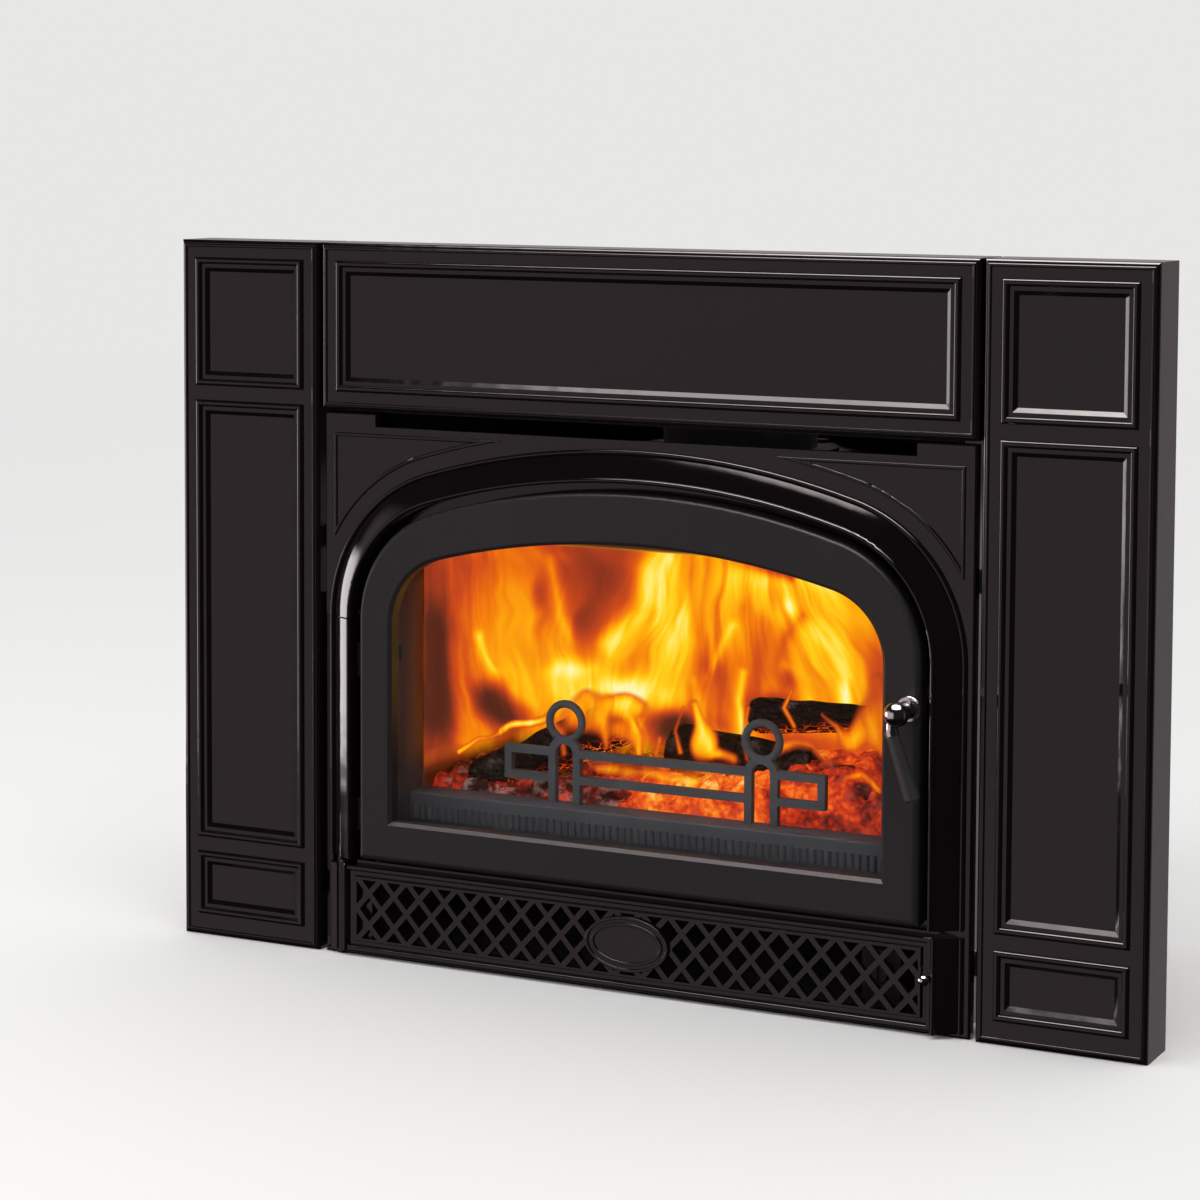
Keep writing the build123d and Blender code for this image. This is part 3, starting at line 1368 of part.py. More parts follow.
with BuildPart() as fan_motor:
    cross_rod(fan_y, fan_z, motor_radius, fan_end + sheet, fan_end + sheet + motor_length)
    fillet(fan_motor.edges().filter_by(GeomType.CIRCLE).sort_by(Axis.X)[-1], motor_rounding)
    block((fan_end + sheet + motor_length / 3, fan_y - motor_radius / 2, base_thickness),
          (fan_end + sheet + 2 * motor_length / 3, fan_y + motor_radius / 2, fan_z))
    cross_rod(fan_y, fan_z, fan_shaft_radius + turn_gap, fan_end + sheet, fan_end + sheet + 2 * fan_gap,
              Mode.SUBTRACT)
finish(fan_motor, "fan_motor")

with BuildPart() as fan_control:
    block((fan_knob_x - control_half_width, control_y, base_thickness),
          (fan_knob_x + control_half_width, control_y + sheet, fan_knob_z + control_half_width))
    block((fan_knob_x - control_half_width, control_y, base_thickness),
          (fan_knob_x + control_half_width, control_y + control_depth, base_thickness + sheet))
    block((fan_knob_x - fan_knob_radius, control_y + sheet, fan_knob_z - fan_knob_radius),
          (fan_knob_x + fan_knob_radius, control_y + control_depth, fan_knob_z + fan_knob_radius))
    room_rod(fan_knob_x, fan_knob_z, fan_shaft_radius / 2 + turn_gap, -control_y - control_depth / 2,
             -control_y, Mode.SUBTRACT)
finish(fan_control, "fan_control")

with BuildPart() as fan_speed_knob:
    room_rod(fan_knob_x, fan_knob_z, fan_knob_radius, seat_gap - control_y,
             seat_gap - control_y + fan_knob_length)
    fillet(edges_in_front(fan_speed_knob.part, seat_gap - control_y + fan_knob_length), fan_knob_rounding)
    block((fan_knob_x - fan_pointer_width / 2, control_y - seat_gap - fan_knob_length - fan_pointer_width,
           fan_knob_z - fan_knob_radius + fan_knob_rounding),
          (fan_knob_x + fan_pointer_width / 2, control_y - seat_gap - fan_knob_length,
           fan_knob_z + fan_knob_radius - fan_knob_rounding))
    room_rod(fan_knob_x, fan_knob_z, fan_shaft_radius / 2, seat_gap - control_y - fan_knob_length,
             seat_gap - control_y)
finish(fan_speed_knob, "fan_speed_knob")
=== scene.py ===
import math

import bpy
import numpy as np
from mathutils import Matrix, Vector


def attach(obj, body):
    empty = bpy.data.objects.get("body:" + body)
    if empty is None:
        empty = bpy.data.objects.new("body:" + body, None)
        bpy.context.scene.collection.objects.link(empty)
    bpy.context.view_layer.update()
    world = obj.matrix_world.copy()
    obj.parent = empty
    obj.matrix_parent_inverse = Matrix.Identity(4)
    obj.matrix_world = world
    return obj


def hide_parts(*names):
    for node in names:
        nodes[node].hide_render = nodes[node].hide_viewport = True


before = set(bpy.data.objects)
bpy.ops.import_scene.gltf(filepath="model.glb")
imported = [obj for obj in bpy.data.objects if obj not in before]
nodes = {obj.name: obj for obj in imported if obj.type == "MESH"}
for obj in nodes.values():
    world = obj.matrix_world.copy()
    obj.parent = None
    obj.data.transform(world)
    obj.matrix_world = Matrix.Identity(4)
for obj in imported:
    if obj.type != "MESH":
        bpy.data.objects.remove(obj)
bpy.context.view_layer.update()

print("frame loaded with", len(nodes), "nodes")


viewpoint = {
    "place": (1.369, -2.854, 0.859),
    "yaw": 26.69,          # degrees to the left of straight at the front
    "pitch": 4.17,         # degrees down
    "roll": 0.27,
    "lens": 95.54,
    "sensor": 36.0,
    "shift": -0.20,        # raises the picture, as a shift lens does
}


# the camera looks along yaw and pitch, and roll turns its picture about that line
def placeCamera(v):
    yaw, pitch, roll = (math.radians(v[k]) for k in ("yaw", "pitch", "roll"))
    ahead = Vector((-math.sin(yaw) * math.cos(pitch), math.cos(yaw) * math.cos(pitch), -math.sin(pitch)))
    level = Vector((math.cos(yaw), math.sin(yaw), 0))
    above = level.cross(ahead)
    right = level * math.cos(roll) + above * math.sin(roll)
    up = right.cross(ahead)
    lensData = bpy.data.cameras.new("camera")
    lensData.lens = v["lens"]
    lensData.sensor_width = v["sensor"]
    lensData.shift_y = v["shift"]
    cameraObject = bpy.data.objects.new("camera", lensData)
    bpy.context.scene.collection.objects.link(cameraObject)
    turned = Matrix((right, up, -ahead)).transposed().to_4x4()
    cameraObject.matrix_world = Matrix.Translation(v["place"]) @ turned
    bpy.context.scene.camera = cameraObject


placeCamera(viewpoint)
bpy.context.scene.view_settings.view_transform = "Standard"
print("camera placed")


class Wire:
    # one output socket; adding, multiplying and so on build Math nodes from it
    def __init__(self, recipe, socket):
        self.recipe = recipe
        self.socket = socket

    def maths(self, operation, *values, clamp=False):
        return self.recipe.node("ShaderNodeMath", {"operation": operation, "use_clamp": clamp},
                                dict(enumerate(values)))

    def __add__(self, other):
        return self.maths("ADD", self, other)

    def __sub__(self, other):
        return self.maths("SUBTRACT", self, other)

    def __rsub__(self, other):
        return self.maths("SUBTRACT", other, self)

    def __mul__(self, other):
        return self.maths("MULTIPLY", self, other)

    def __pow__(self, other):
        return self.maths("POWER", self, other)

    __radd__ = __add__
    __rmul__ = __mul__

    def clamped(self):
        return self.maths("ADD", self, 0.0, clamp=True)

    def most(self, other):
        return self.maths("MAXIMUM", self, other)

    def size(self):
        return self.maths("ABSOLUTE", self)

    def sine(self):
        return self.maths("SINE", self)


class Recipe:
    # the node tree of one finish
    def __init__(self, name, tree=None):
        if tree is None:
            self.material = bpy.data.materials.new(name)
            self.material.use_nodes = True
            tree = self.material.node_tree
        self.tree = tree
        self.tree.nodes.clear()
        self.kept = {}

    # any node: its settings first, then the values or wires of its sockets
    def node(self, kind, settings=None, sockets=None, output=0):
        made = self.tree.nodes.new(kind)
        for name, value in (settings or {}).items():
            if name == "stops":
                ramp = made.color_ramp.elements
                while len(ramp) < len(value):
                    ramp.new(1.0)
                for stop, (place, colour) in zip(ramp, value):
                    stop.position = place
                    stop.color = (*colour, 1.0)
            else:
                setattr(made, name, value)
        for key, value in (sockets or {}).items():
            if isinstance(value, Wire):
                self.tree.links.new(value.socket, made.inputs[key])
            else:
                made.inputs[key].default_value = value
        return made if output is None else Wire(self, made.outputs[output])

    def place(self):
        if "place" not in self.kept:
            self.kept["place"] = self.node("ShaderNodeTexCoord", output="Object")
        return self.kept["place"]

    def parts(self, vector):
        split = self.node("ShaderNodeSeparateXYZ", None, {0: vector}, output=None)
        return {name: Wire(self, split.outputs[name]) for name in "XYZ"}

    def axis(self, name):
        if "axes" not in self.kept:
            self.kept["axes"] = self.parts(self.place())
        return self.kept["axes"][name]

    def stretched(self, factors, at=None):
        return self.node("ShaderNodeVectorMath", {"operation": "MULTIPLY"},
                         {0: at or self.place(), 1: factors})

    def cloud(self, scale, detail=3.0, rough=0.5, at=None, swirl=0.0):
        return self.node("ShaderNodeTexNoise", None,
                         {"Vector": at or self.place(), "Scale": scale, "Detail": detail,
                          "Roughness": rough, "Distortion": swirl})

    def cells(self, scale, feature="F1", at=None):
        return self.node("ShaderNodeTexVoronoi", {"feature": feature},
                         {"Vector": at or self.place(), "Scale": scale})

    # rises from 0 at the low edge to 1 at the high edge
    def step(self, value, low, high):
        return self.node("ShaderNodeMapRange", {"interpolation_type": "SMOOTHSTEP"},
                         {0: value, 1: low, 2: high, 3: 0.0, 4: 1.0})

    def between(self, factor, first, second):
        return self.node("ShaderNodeMix", {"data_type": "RGBA"},
                         {0: factor, 6: first if isinstance(first, Wire) else (*first, 1.0),
                          7: second if isinstance(second, Wire) else (*second, 1.0)}, output=2)

    def shades(self, value, stops):
        return self.node("ShaderNodeValToRGB", {"stops": stops}, {0: value})

    def stored(self, name):
        return self.node("ShaderNodeAttribute", {"attribute_name": name}, output="Fac")

    def relief(self, height, depth, under=None):
        sockets = {"Height": height, "Distance": depth, "Strength": 1.0}
        if under is not None:
            sockets["Normal"] = under
        return self.node("ShaderNodeBump", None, sockets)

    # the colour between a finish's dark and light
    def tone(self, factor, values):
        return self.between(factor, values["dark"], values["light"])

    # the Principled shader and the material's output: gloss, metallic and roughness are the finish's own
    # values, and a pattern that makes it rougher counts by the second value of its roughness
    def finish(self, values, rougher=None, **sockets):
        names = {"colour": "Base Color", "roughness": "Roughness", "metallic": "Metallic", "normal": "Normal",
                 "gloss": "Specular IOR Level", "alpha": "Alpha", "glow": "Emission Color",
                 "glowStrength": "Emission Strength"}
        given = {key: values[key] for key in ("gloss", "metallic", "roughness") if key in values}
        if rougher is not None:
            base, gain = values["roughness"]
            given["roughness"] = base + rougher * gain
        filled = {}
        for key, value in (given | sockets).items():
            if key in ("colour", "glow") and not isinstance(value, Wire):
                value = (*value, 1.0)
            filled[names[key]] = value
        surface = self.node("ShaderNodeBsdfPrincipled", None, filled)
        self.node("ShaderNodeOutputMaterial", None, {"Surface": surface}, output=None)
        return self.material


studio = {
    "floorSize": 14.0,
    "floorColour": (0.85, 0.845, 0.84),
    "floorShade": 0.985,       # of the floor's colour, in its faint clouds
    "floorClouds": 3.0,
    "floorRoughness": 0.8,
    "backdropColour": (0.80, 0.797, 0.79),
    "evenLight": 0.94,
    "lamps": (
        # name, place, aim, width, height, watts
        ("topPanel", (0.2, -1.2, 2.4), (0.0, 0.0, 0.3), 2.4, 1.2, 16),
        ("leftPanel", (-2.3, -1.2, 0.9), (-0.2, 0.0, 0.35), 0.9, 1.6, 9),
    ),
    # what polished faces mirror, painted one over the other by direction: for each axis the soft lower
    # and upper edge of a patch, its colour, and where it turns into a second colour
    "unpainted": (0.004, 0.003, 0.003),
    "patches": (
        # the room behind the camera
        {"X": (None, (-0.20, -0.05)), "Y": (None, (-0.30, -0.05)), "Z": ((-0.50, -0.36), (0.30, 0.46)),
         "colour": (0.56, 0.455, 0.485)},
        # the side that the insert backs on
        {"Y": ((0.05, 0.30), None), "Z": ((-0.50, -0.36), (0.30, 0.46)), "colour": (0.34, 0.31, 0.315)},
        # a window on the left, dimmer towards the back
        {"X": (None, (-0.70, -0.58)), "Y": ((-0.30, -0.20), None), "Z": ((-0.205, -0.185), (0.08, 0.16)),
         "colour": (8.0, 7.4, 7.5), "turn": ("Y", (-0.02, 0.06), (3.0, 2.7, 2.75))},
        # a skylight, brightest straight above
        {"X": ((-0.52, -0.46), None), "Z": ((0.825, 0.862), None),
         "colour": (8.0, 7.2, 7.1), "turn": ("Z", (0.88, 0.93), (20.0, 18.4, 18.0))},
    ),
}


# one large square with a faint cloud in its colour
def makeFloor(s):
    half = s["floorSize"] / 2
    corners = [(-half, -half, 0), (half, -half, 0), (half, half, 0), (-half, half, 0)]
    mesh = bpy.data.meshes.new("floor")
    mesh.from_pydata(corners, [], [(0, 1, 2, 3)])
    floor = bpy.data.objects.new("floor", mesh)
    bpy.context.scene.collection.objects.link(floor)
    floor.visible_glossy = False
    r = Recipe("floorPaint")
    colour = r.between(r.cloud(s["floorClouds"], 2.0), s["floorColour"],
                       [c * s["floorShade"] for c in s["floorColour"]])
    mesh.materials.append(r.finish({}, colour=colour, roughness=s["floorRoughness"], gloss=0.0))


# rectangles of light, each turned from its place to its aim
def makeLamps(s):
    for name, place, aim, width, height, watts in s["lamps"]:
        light = bpy.data.lights.new(name, "AREA")
        light.shape = "RECTANGLE"
        light.size, light.size_y, light.energy = width, height, watts
        lamp = bpy.data.objects.new(name, light)
        bpy.context.scene.collection.objects.link(lamp)
        lamp.location = place
        lamp.rotation_euler = (Vector(aim) - Vector(place)).to_track_quat("-Z", "Y").to_euler()
        lamp.visible_glossy = False


# an even light for all but two kinds of ray: mirrored ones see the painted patches, and those that
# come from the camera, also through glass, see the plain backdrop
def makeSurroundings(s):
    world = bpy.data.worlds.new("studio")
    world.use_nodes = True
    bpy.context.scene.world = world
    r = Recipe("studio", world.node_tree)
    direction = r.parts(r.node("ShaderNodeTexCoord", output="Generated"))
    mirrored = s["unpainted"]
    for patch in s["patches"]:
        cover = 1.0
        for axis in "XYZ":
            lower, upper = patch.get(axis, (None, None))
            if lower:
                cover = cover * r.step(direction[axis], *lower)
            if upper:
                cover = cover * (1.0 - r.step(direction[axis], *upper))
        colour = patch["colour"]
        if "turn" in patch:
            axis, edge, second = patch["turn"]
            colour = r.between(r.step(direction[axis], *edge), colour, second)
        mirrored = r.between(cover, mirrored, colour)
    path = r.node("ShaderNodeLightPath", output=None)
    seen, glossy, through = (Wire(r, path.outputs["Is %s Ray" % kind])
                             for kind in ("Camera", "Glossy", "Transmission"))
    shown = r.between(glossy, [s["evenLight"]] * 3, mirrored)
    shown = r.between(seen.most(through), shown, s["backdropColour"])
    surface = r.node("ShaderNodeBackground", None, {"Color": shown, "Strength": 1.0})
    r.node("ShaderNodeOutputWorld", None, {"Surface": surface}, output=None)


makeFloor(studio)
makeLamps(studio)
makeSurroundings(studio)
print("studio ready")


enamel = {
    "deep": (0.0030, 0.0020, 0.0022), "brown": (0.0052, 0.0034, 0.0036), "speck": (0.012, 0.008, 0.007),
    # how fine each pattern is: larger numbers make it finer
    "drift": 7.0, "specks": 420.0, "speckSize": 0.10, "ripples": 34.0, "skin": 210.0, "haze": 16.0,
    "rippleDepth": 0.00022, "skinDepth": 0.000012, "roughness": (0.045, 0.06), "gloss": 0.45,
}


def enamelFinish(e):
    # glossy vitreous enamel, nearly black with a brown cast: slow ripples like the skin of the fired
    # glass, a faint drift of colour, and rare pin specks
    r = Recipe("enamel")
    colour = r.between(r.cloud(e["drift"]), e["deep"], e["brown"])
    colour = r.between(r.step(r.cells(e["specks"]), 0.0, e["speckSize"]), e["speck"], colour)
    ripple = r.relief(r.cloud(e["ripples"], 1.0), e["rippleDepth"])
    skin = r.relief(r.cloud(e["skin"], 2.0), e["skinDepth"], ripple)
    return r.finish(e, r.cloud(e["haze"], 4.0, 0.6), colour=colour, normal=skin)


blackIron = {
    "dark": (0.0125, 0.0108, 0.0115), "light": (0.0170, 0.0148, 0.0155),
    "drift": 9.0, "cast": 130.0, "grain": 900.0, "grainDepth": 0.00009, "castDepth": 0.00006,
    "roughness": (0.34, 0.10), "gloss": 0.26,
}


def blackIronFinish(b):
    # satin stove paint on cast iron: fine sand grain over the softer cast skin, with drifting wear
    r = Recipe("blackIron")
    drift = r.cloud(b["drift"])
    cast = r.relief(r.cloud(b["cast"], 2.0), b["castDepth"])
    return r.finish(b, drift, colour=r.tone(drift, b),
                    normal=r.relief(r.cloud(b["grain"], 3.0, 0.6), b["grainDepth"], cast))


bareIron = {
    "dark": (0.058, 0.063, 0.073), "light": (0.098, 0.103, 0.114), "ash": (0.13, 0.125, 0.12),
    "patches": 26.0, "grain": 520.0, "ashEdge": (0.55, 0.75), "grainDepth": 0.00018,
    "roughness": (0.62, 0.2), "metallic": 0.25, "gloss": 0.4,
}


def bareIronFinish(b):
    # heat-greyed bare iron of the fender and the log retainer, rough and matt, with ash in its grain
    r = Recipe("ironBed")
    grain = r.cloud(b["grain"], 4.0, 0.65)
    colour = r.tone(r.cloud(b["patches"]), b)
    colour = r.between(r.step(grain, *b["ashEdge"]), colour, b["ash"])
    return r.finish(b, grain, colour=colour, normal=r.relief(grain, b["grainDepth"]))


satinSteel = {
    "dark": (0.23, 0.235, 0.24), "light": (0.36, 0.36, 0.355), "scratch": (0.16, 0.155, 0.15),
    # near black at the front and high up is painted shade, so the steel behind the slot reads dark
    "burnt": (0.012, 0.011, 0.011), "burntDepth": (0.02, 0.10), "burntHeight": (0.47, 0.53),
    "grain": 60.0, "brush": (1.0, 14.0, 14.0), "marks": 5.0, "scratchShare": 0.35,
    "roughness": (0.34, 0.18), "metallic": 0.85, "grainDepth": 0.00004,
}


def satinSteelFinish(b):
    # rolled sheet steel: long brushed grain along X and darker heat marks, and painted shade: near black
    # at the front high up, behind the slot where the warm air leaves
    r = Recipe("satinSteel")
    grain = r.cloud(b["grain"], 4.0, 0.6, r.stretched(b["brush"]))
    marks = r.cloud(b["marks"], 4.0, 0.55)
    colour = r.tone(marks, b)
    colour = r.between(r.step(grain, 0.3, 0.8) * b["scratchShare"], colour, b["scratch"])
    # painted shade: the steel near the front and high up, behind the slot, is made near black
    burnt = (1.0 - r.step(r.axis("Y"), *b["burntDepth"])) * r.step(r.axis("Z"), *b["burntHeight"])
    colour = r.between(burnt, colour, b["burnt"])
    return r.finish(b, marks, colour=colour, normal=r.relief(grain, b["grainDepth"]))


plateSteel = {
    "dark": (0.045, 0.047, 0.052), "light": (0.115, 0.112, 0.110), "rust": (0.11, 0.075, 0.055),
    "soot": (0.014, 0.012, 0.012), "sootHeight": (0.48, 0.52), "mottle": 14.0, "spots": 260.0,
    "rustShare": 0.5, "roughness": (0.5, 0.2), "metallic": 0.5, "spotDepth": 0.00012,
}


def plateSteelFinish(b):
    # welded plate with mill scale: blue-grey and mottled, spots of rust, and near black high up, where
    # the warm air leaves: soot there, and painted shade that keeps the slot dark
    r = Recipe("plateSteel")
    mottle = r.cloud(b["mottle"], 5.0, 0.6)
    spots = r.cloud(b["spots"], 4.0, 0.6)
    colour = r.tone(mottle, b)
    colour = r.between(r.step(spots, 0.58, 0.7) * b["rustShare"], colour, b["rust"])
    # soot and painted shade: everything above this height is made near black, so the slot reads dark
    colour = r.between(r.step(r.axis("Z"), *b["sootHeight"]), colour, b["soot"])
    return r.finish(b, mottle, colour=colour, normal=r.relief(spots, b["spotDepth"]))


blackPaintAndShade = {
    # near black colours: black paint, and painted shade where the collar and bolts show in the slot
    "dark": (0.0040, 0.0036, 0.0036), "light": (0.0085, 0.0078, 0.0078), "rubbed": (0.016, 0.015, 0.015),
    "flakes": 340.0, "wear": 22.0, "rubbedEdge": (0.52, 0.75), "rubbedShare": 0.5,
    "roughness": (0.78, 0.18), "gloss": 0.08, "flakeDepth": 0.0001,
}


def blackPaintAndShadeFinish(b):
    # matt black stove paint, darkened to near black as painted shade for the slot: fine flakes, a little
    # greyer where it is rubbed
    r = Recipe("blackPaintAndShade")
    flakes = r.cloud(b["flakes"], 4.0, 0.65)
    rubbed = r.step(r.cloud(b["wear"], 4.0, 0.6), *b["rubbedEdge"])
    colour = r.tone(flakes, b)
    colour = r.between(rubbed * b["rubbedShare"], colour, b["rubbed"])
    return r.finish(b, flakes, colour=colour, normal=r.relief(flakes, b["flakeDepth"]))


zinc = {
    "dark": (0.50, 0.51, 0.52), "light": (0.66, 0.66, 0.64), "crystals": 700.0,
    "roughness": (0.28, 0.2), "metallic": 1.0,
}


def zincFinish(b):
    # plated fasteners: bright grey with a soft crystal pattern
    r = Recipe("zincSteel")
    crystal = r.cells(b["crystals"])
    return r.finish(b, crystal, colour=r.tone(crystal, b))


brightMetal = {
    "dark": (0.60, 0.59, 0.585), "light": (0.74, 0.73, 0.72), "swirls": 420.0, "polish": (1.0, 1.0, 6.0),
    "haze": 60.0, "roughness": (0.10, 0.12), "metallic": 1.0, "polishDepth": 0.000015,
}


def brightMetalFinish(b):
    # polished nickel with faint polishing swirls and finger haze
    r = Recipe("brightMetal")
    swirl = r.cloud(b["swirls"], 3.0, 0.5, r.stretched(b["polish"]), 1.2)
    haze = r.cloud(b["haze"])
    return r.finish(b, haze, colour=r.tone(haze, b), normal=r.relief(swirl, b["polishDepth"]))


grip = {
    "dark": (0.016, 0.015, 0.016), "light": (0.028, 0.026, 0.027), "drift": 90.0, "grain": 1400.0,
    "roughness": (0.26, 0.14), "grainDepth": 0.00003,
}


def gripFinish(b):
    # moulded black grip with a low sheen and fine mould texture
    r = Recipe("grip")
    grain = r.cloud(b["grain"], 3.0, 0.6)
    drift = r.cloud(b["drift"], 2.0)
    return r.finish(b, drift, colour=r.tone(drift, b), normal=r.relief(grain, b["grainDepth"]))


pane = {
    "dark": (0.012, 0.009, 0.008), "light": (0.03, 0.024, 0.02), "sideEdge": (0.225, 0.285),
    "lowEdge": (0.148, 0.205), "sideSmoke": 0.10, "lowSmoke": 0.05, "evenSmoke": 0.01, "tint": 0.02,
    "film": 12.0, "roughness": (0.03, 0.04), "gloss": 0.3,
}


def paneFinish(b):
    # heat-proof glass: almost clear, with a thin smoke film that is denser low down and at the edges
    r = Recipe("pane")
    film = r.cloud(b["film"], 4.0, 0.6)
    sideways = r.step(r.axis("X").size(), *b["sideEdge"])
    low = 1.0 - r.step(r.axis("Z"), *b["lowEdge"])
    smoke = (sideways * b["sideSmoke"] + low * b["lowSmoke"] + b["evenSmoke"]) * (0.5 + film)
    return r.finish(b, film, colour=r.tone(film, b), alpha=(smoke + b["tint"]).clamped())


rope = {
    "dark": (0.03, 0.03, 0.032), "light": (0.11, 0.11, 0.11), "fibre": (0.2, 0.2, 0.19),
    "strands": 900.0, "fibres": 1500.0, "fibreShare": 0.4, "weaveDepth": 0.0005,
    "roughness": 0.9, "gloss": 0.2,
}


def ropeFinish(b):
    # braided glass-fibre rope: the product of two diagonal sines as bumps, charcoal with lighter fibres
    r = Recipe("rope")
    along = (r.axis("X") + r.axis("Z")) * b["strands"]
    across = (r.axis("X") - r.axis("Z")) * b["strands"]
    weave = (along.sine() * across.sine() + 1.0) * 0.5
    colour = r.tone(weave, b)
    colour = r.between(r.cloud(b["fibres"], 3.0, 0.7) * b["fibreShare"], colour, b["fibre"])
    return r.finish(b, colour=colour, normal=r.relief(weave, b["weaveDepth"]))


firebrick = {
    "dark": (0.16, 0.115, 0.085), "light": (0.28, 0.20, 0.14), "soot": (0.045, 0.028, 0.022),
    "grog": 420.0, "sootClouds": 10.0, "sootEdge": (0.35, 0.62), "pits": 190.0, "pitDepth": 0.0006,
    "grogDepth": 0.0003, "roughness": 0.93, "gloss": 0.1,
}


def brickFinish(b):
    # fired clay: pitted buff with grog specks, under wide clouds of brown soot
    r = Recipe("firebrick")
    grog = r.cloud(b["grog"], 4.0, 0.6)
    soot = r.step(r.cloud(b["sootClouds"], 4.0, 0.6), *b["sootEdge"])
    pits = r.step(r.cells(b["pits"]), 0.05, 0.3)
    colour = r.between(soot, r.tone(grog, b), b["soot"])
    return r.finish(b, colour=colour, normal=r.relief(pits, b["pitDepth"], r.relief(grog, b["grogDepth"])))


board = {
    "dark": (0.34, 0.30, 0.25), "light": (0.52, 0.47, 0.40), "smoked": (0.07, 0.05, 0.04),
    "fibres": 300.0, "lay": (1.0, 3.0, 1.0), "smokeClouds": 9.0, "smokedEdge": (0.3, 0.65),
    "fibreDepth": 0.0004, "roughness": 0.95, "gloss": 0.1,
}


def boardFinish(b):
    # pressed insulating board: pale fibres along X and Z, smoked brown in clouds
    r = Recipe("board")
    fibres = r.cloud(b["fibres"], 4.0, 0.7, r.stretched(b["lay"]))
    smoke = r.step(r.cloud(b["smokeClouds"], 4.0), *b["smokedEdge"])
    colour = r.between(smoke, r.tone(fibres, b), b["smoked"])
    return r.finish(b, colour=colour, normal=r.relief(fibres, b["fibreDepth"]))


blackPlastic = {
    "dark": (0.012, 0.012, 0.013), "light": (0.026, 0.026, 0.027), "spark": 1100.0, "sparkDepth": 0.00006,
    "roughness": (0.45, 0.2),
}


def blackPlasticFinish(b):
    # matt moulded plastic with a light spark texture
    r = Recipe("blackPlastic")
    spark = r.cloud(b["spark"], 3.0, 0.6)
    return r.finish(b, spark, colour=r.tone(spark, b), normal=r.relief(spark, b["sparkDepth"]))


motorSteel = {
    "dark": (0.20, 0.20, 0.21), "light": (0.38, 0.38, 0.38), "rings": 5200.0, "ringDepth": 0.00004,
    "oil": 40.0, "roughness": (0.3, 0.25), "metallic": 0.9,
}


def motorSteelFinish(b):
    # laminated and turned motor parts: a sine along the axle as fine rings, under drifting oil
    r = Recipe("motorSteel")
    rings = ((r.axis("X") * b["rings"]).sine() + 1.0) * 0.5
    oil = r.cloud(b["oil"])
    return r.finish(b, oil, colour=r.tone(oil, b), normal=r.relief(rings, b["ringDepth"]))


dressing = (
    (enamelFinish, enamel, (
        "left_surround_panel", "right_surround_panel", "top_surround_panel", "front_casting", "arch_hood",
        "right_plinth_block", "hinge_pilaster", "grille_pilaster", "lower_grille", "grille_badge")),
    (blackIronFinish, blackIron, ("door_casting",)),
    (bareIronFinish, bareIron, ("fluted_fender", "log_retainer")),
    (satinSteelFinish, satinSteel, ("surround_brackets", "outer_jacket", "base_plate")),
    (plateSteelFinish, plateSteel, (
        "throat_frame", "firebox_shell", "fan_housing", "air_rails", "air_slide", "latch_keeper",
        "latch_pawl", "glass_clips")),
    (blackPaintAndShadeFinish, blackPaintAndShade, ("flue_collar", "flue_bolts")),
    (zincFinish, zinc, (
        "panel_bolts", "hinge_pins", "keeper_screws", "pilaster_screws", "clip_screws", "pawl_nut",
        "handle_shaft", "flange_bolts", "levelling_bolts", "air_tubes")),
    (brightMetalFinish, brightMetal, ("handle_escutcheon", "handle_hub", "grille_knob", "air_lever")),
    (gripFinish, grip, ("handle_grip",)),
    (paneFinish, pane, ("door_glass",)),
    (ropeFinish, rope, ("glass_seal", "door_rope")),
    (brickFinish, firebrick, ("floor_bricks", "rear_bricks", "left_bricks", "right_bricks")),
    (boardFinish, board, ("baffle_board",)),
    (blackPlasticFinish, blackPlastic, ("fan_speed_knob", "fan_control")),
    (motorSteelFinish, motorSteel, ("fan_motor", "fan_rotor")),
)
for makeFinish, values, names in dressing:
    paint = makeFinish(values)
    for nodeName in names:
        target = nodes[nodeName]
        if not target.material_slots:
            target.data.materials.append(paint)
        for holder in target.material_slots:
            holder.material = paint
print("finishes on", sum(len(names) for _, _, names in dressing), "nodes")


# quads between neighbouring rows and columns of a grid, joined round where it wraps
def gridQuads(rows, columns, wraps=False):
    across = columns if wraps else columns - 1
    row, column = np.meshgrid(np.arange(rows - 1), np.arange(across), indexing="ij")
    following = (column + 1) % columns
    return np.stack([row * columns + column, row * columns + following,
                     (row + 1) * columns + following, (row + 1) * columns + column], -1).reshape(-1, 4)


# fan of triangles from one point to a closed ring of points
def fanTriangles(centre, ring, flipped=False):
    following = np.roll(ring, -1)
    middle = np.full(len(ring), centre)
    order = (middle, following, ring) if flipped else (middle, ring, following)
    return np.stack(order, -1)


# a smooth mesh object from whole arrays of points, quads and triangles
def makePiece(name, points, quads, triangles=None):
    triangles = np.zeros((0, 3), int) if triangles is None else triangles
    mesh = bpy.data.meshes.new(name)
    corners = np.concatenate([quads.ravel(), triangles.ravel()])
    totals = np.concatenate([np.full(len(quads), 4), np.full(len(triangles), 3)])
    mesh.vertices.add(len(points))
    mesh.vertices.foreach_set("co", np.ascontiguousarray(points, np.float32).ravel())
    mesh.loops.add(len(corners))
    mesh.loops.foreach_set("vertex_index", corners.astype(np.int32))
    mesh.polygons.add(len(totals))
    mesh.polygons.foreach_set("loop_start", (np.cumsum(totals) - totals).astype(np.int32))
    mesh.polygons.foreach_set("loop_total", totals.astype(np.int32))
    mesh.polygons.foreach_set("use_smooth", np.full(len(totals), True))
    mesh.update(calc_edges=True)
    mesh.validate()
    piece = bpy.data.objects.new(name, mesh)
    bpy.context.scene.collection.objects.link(piece)
    return piece


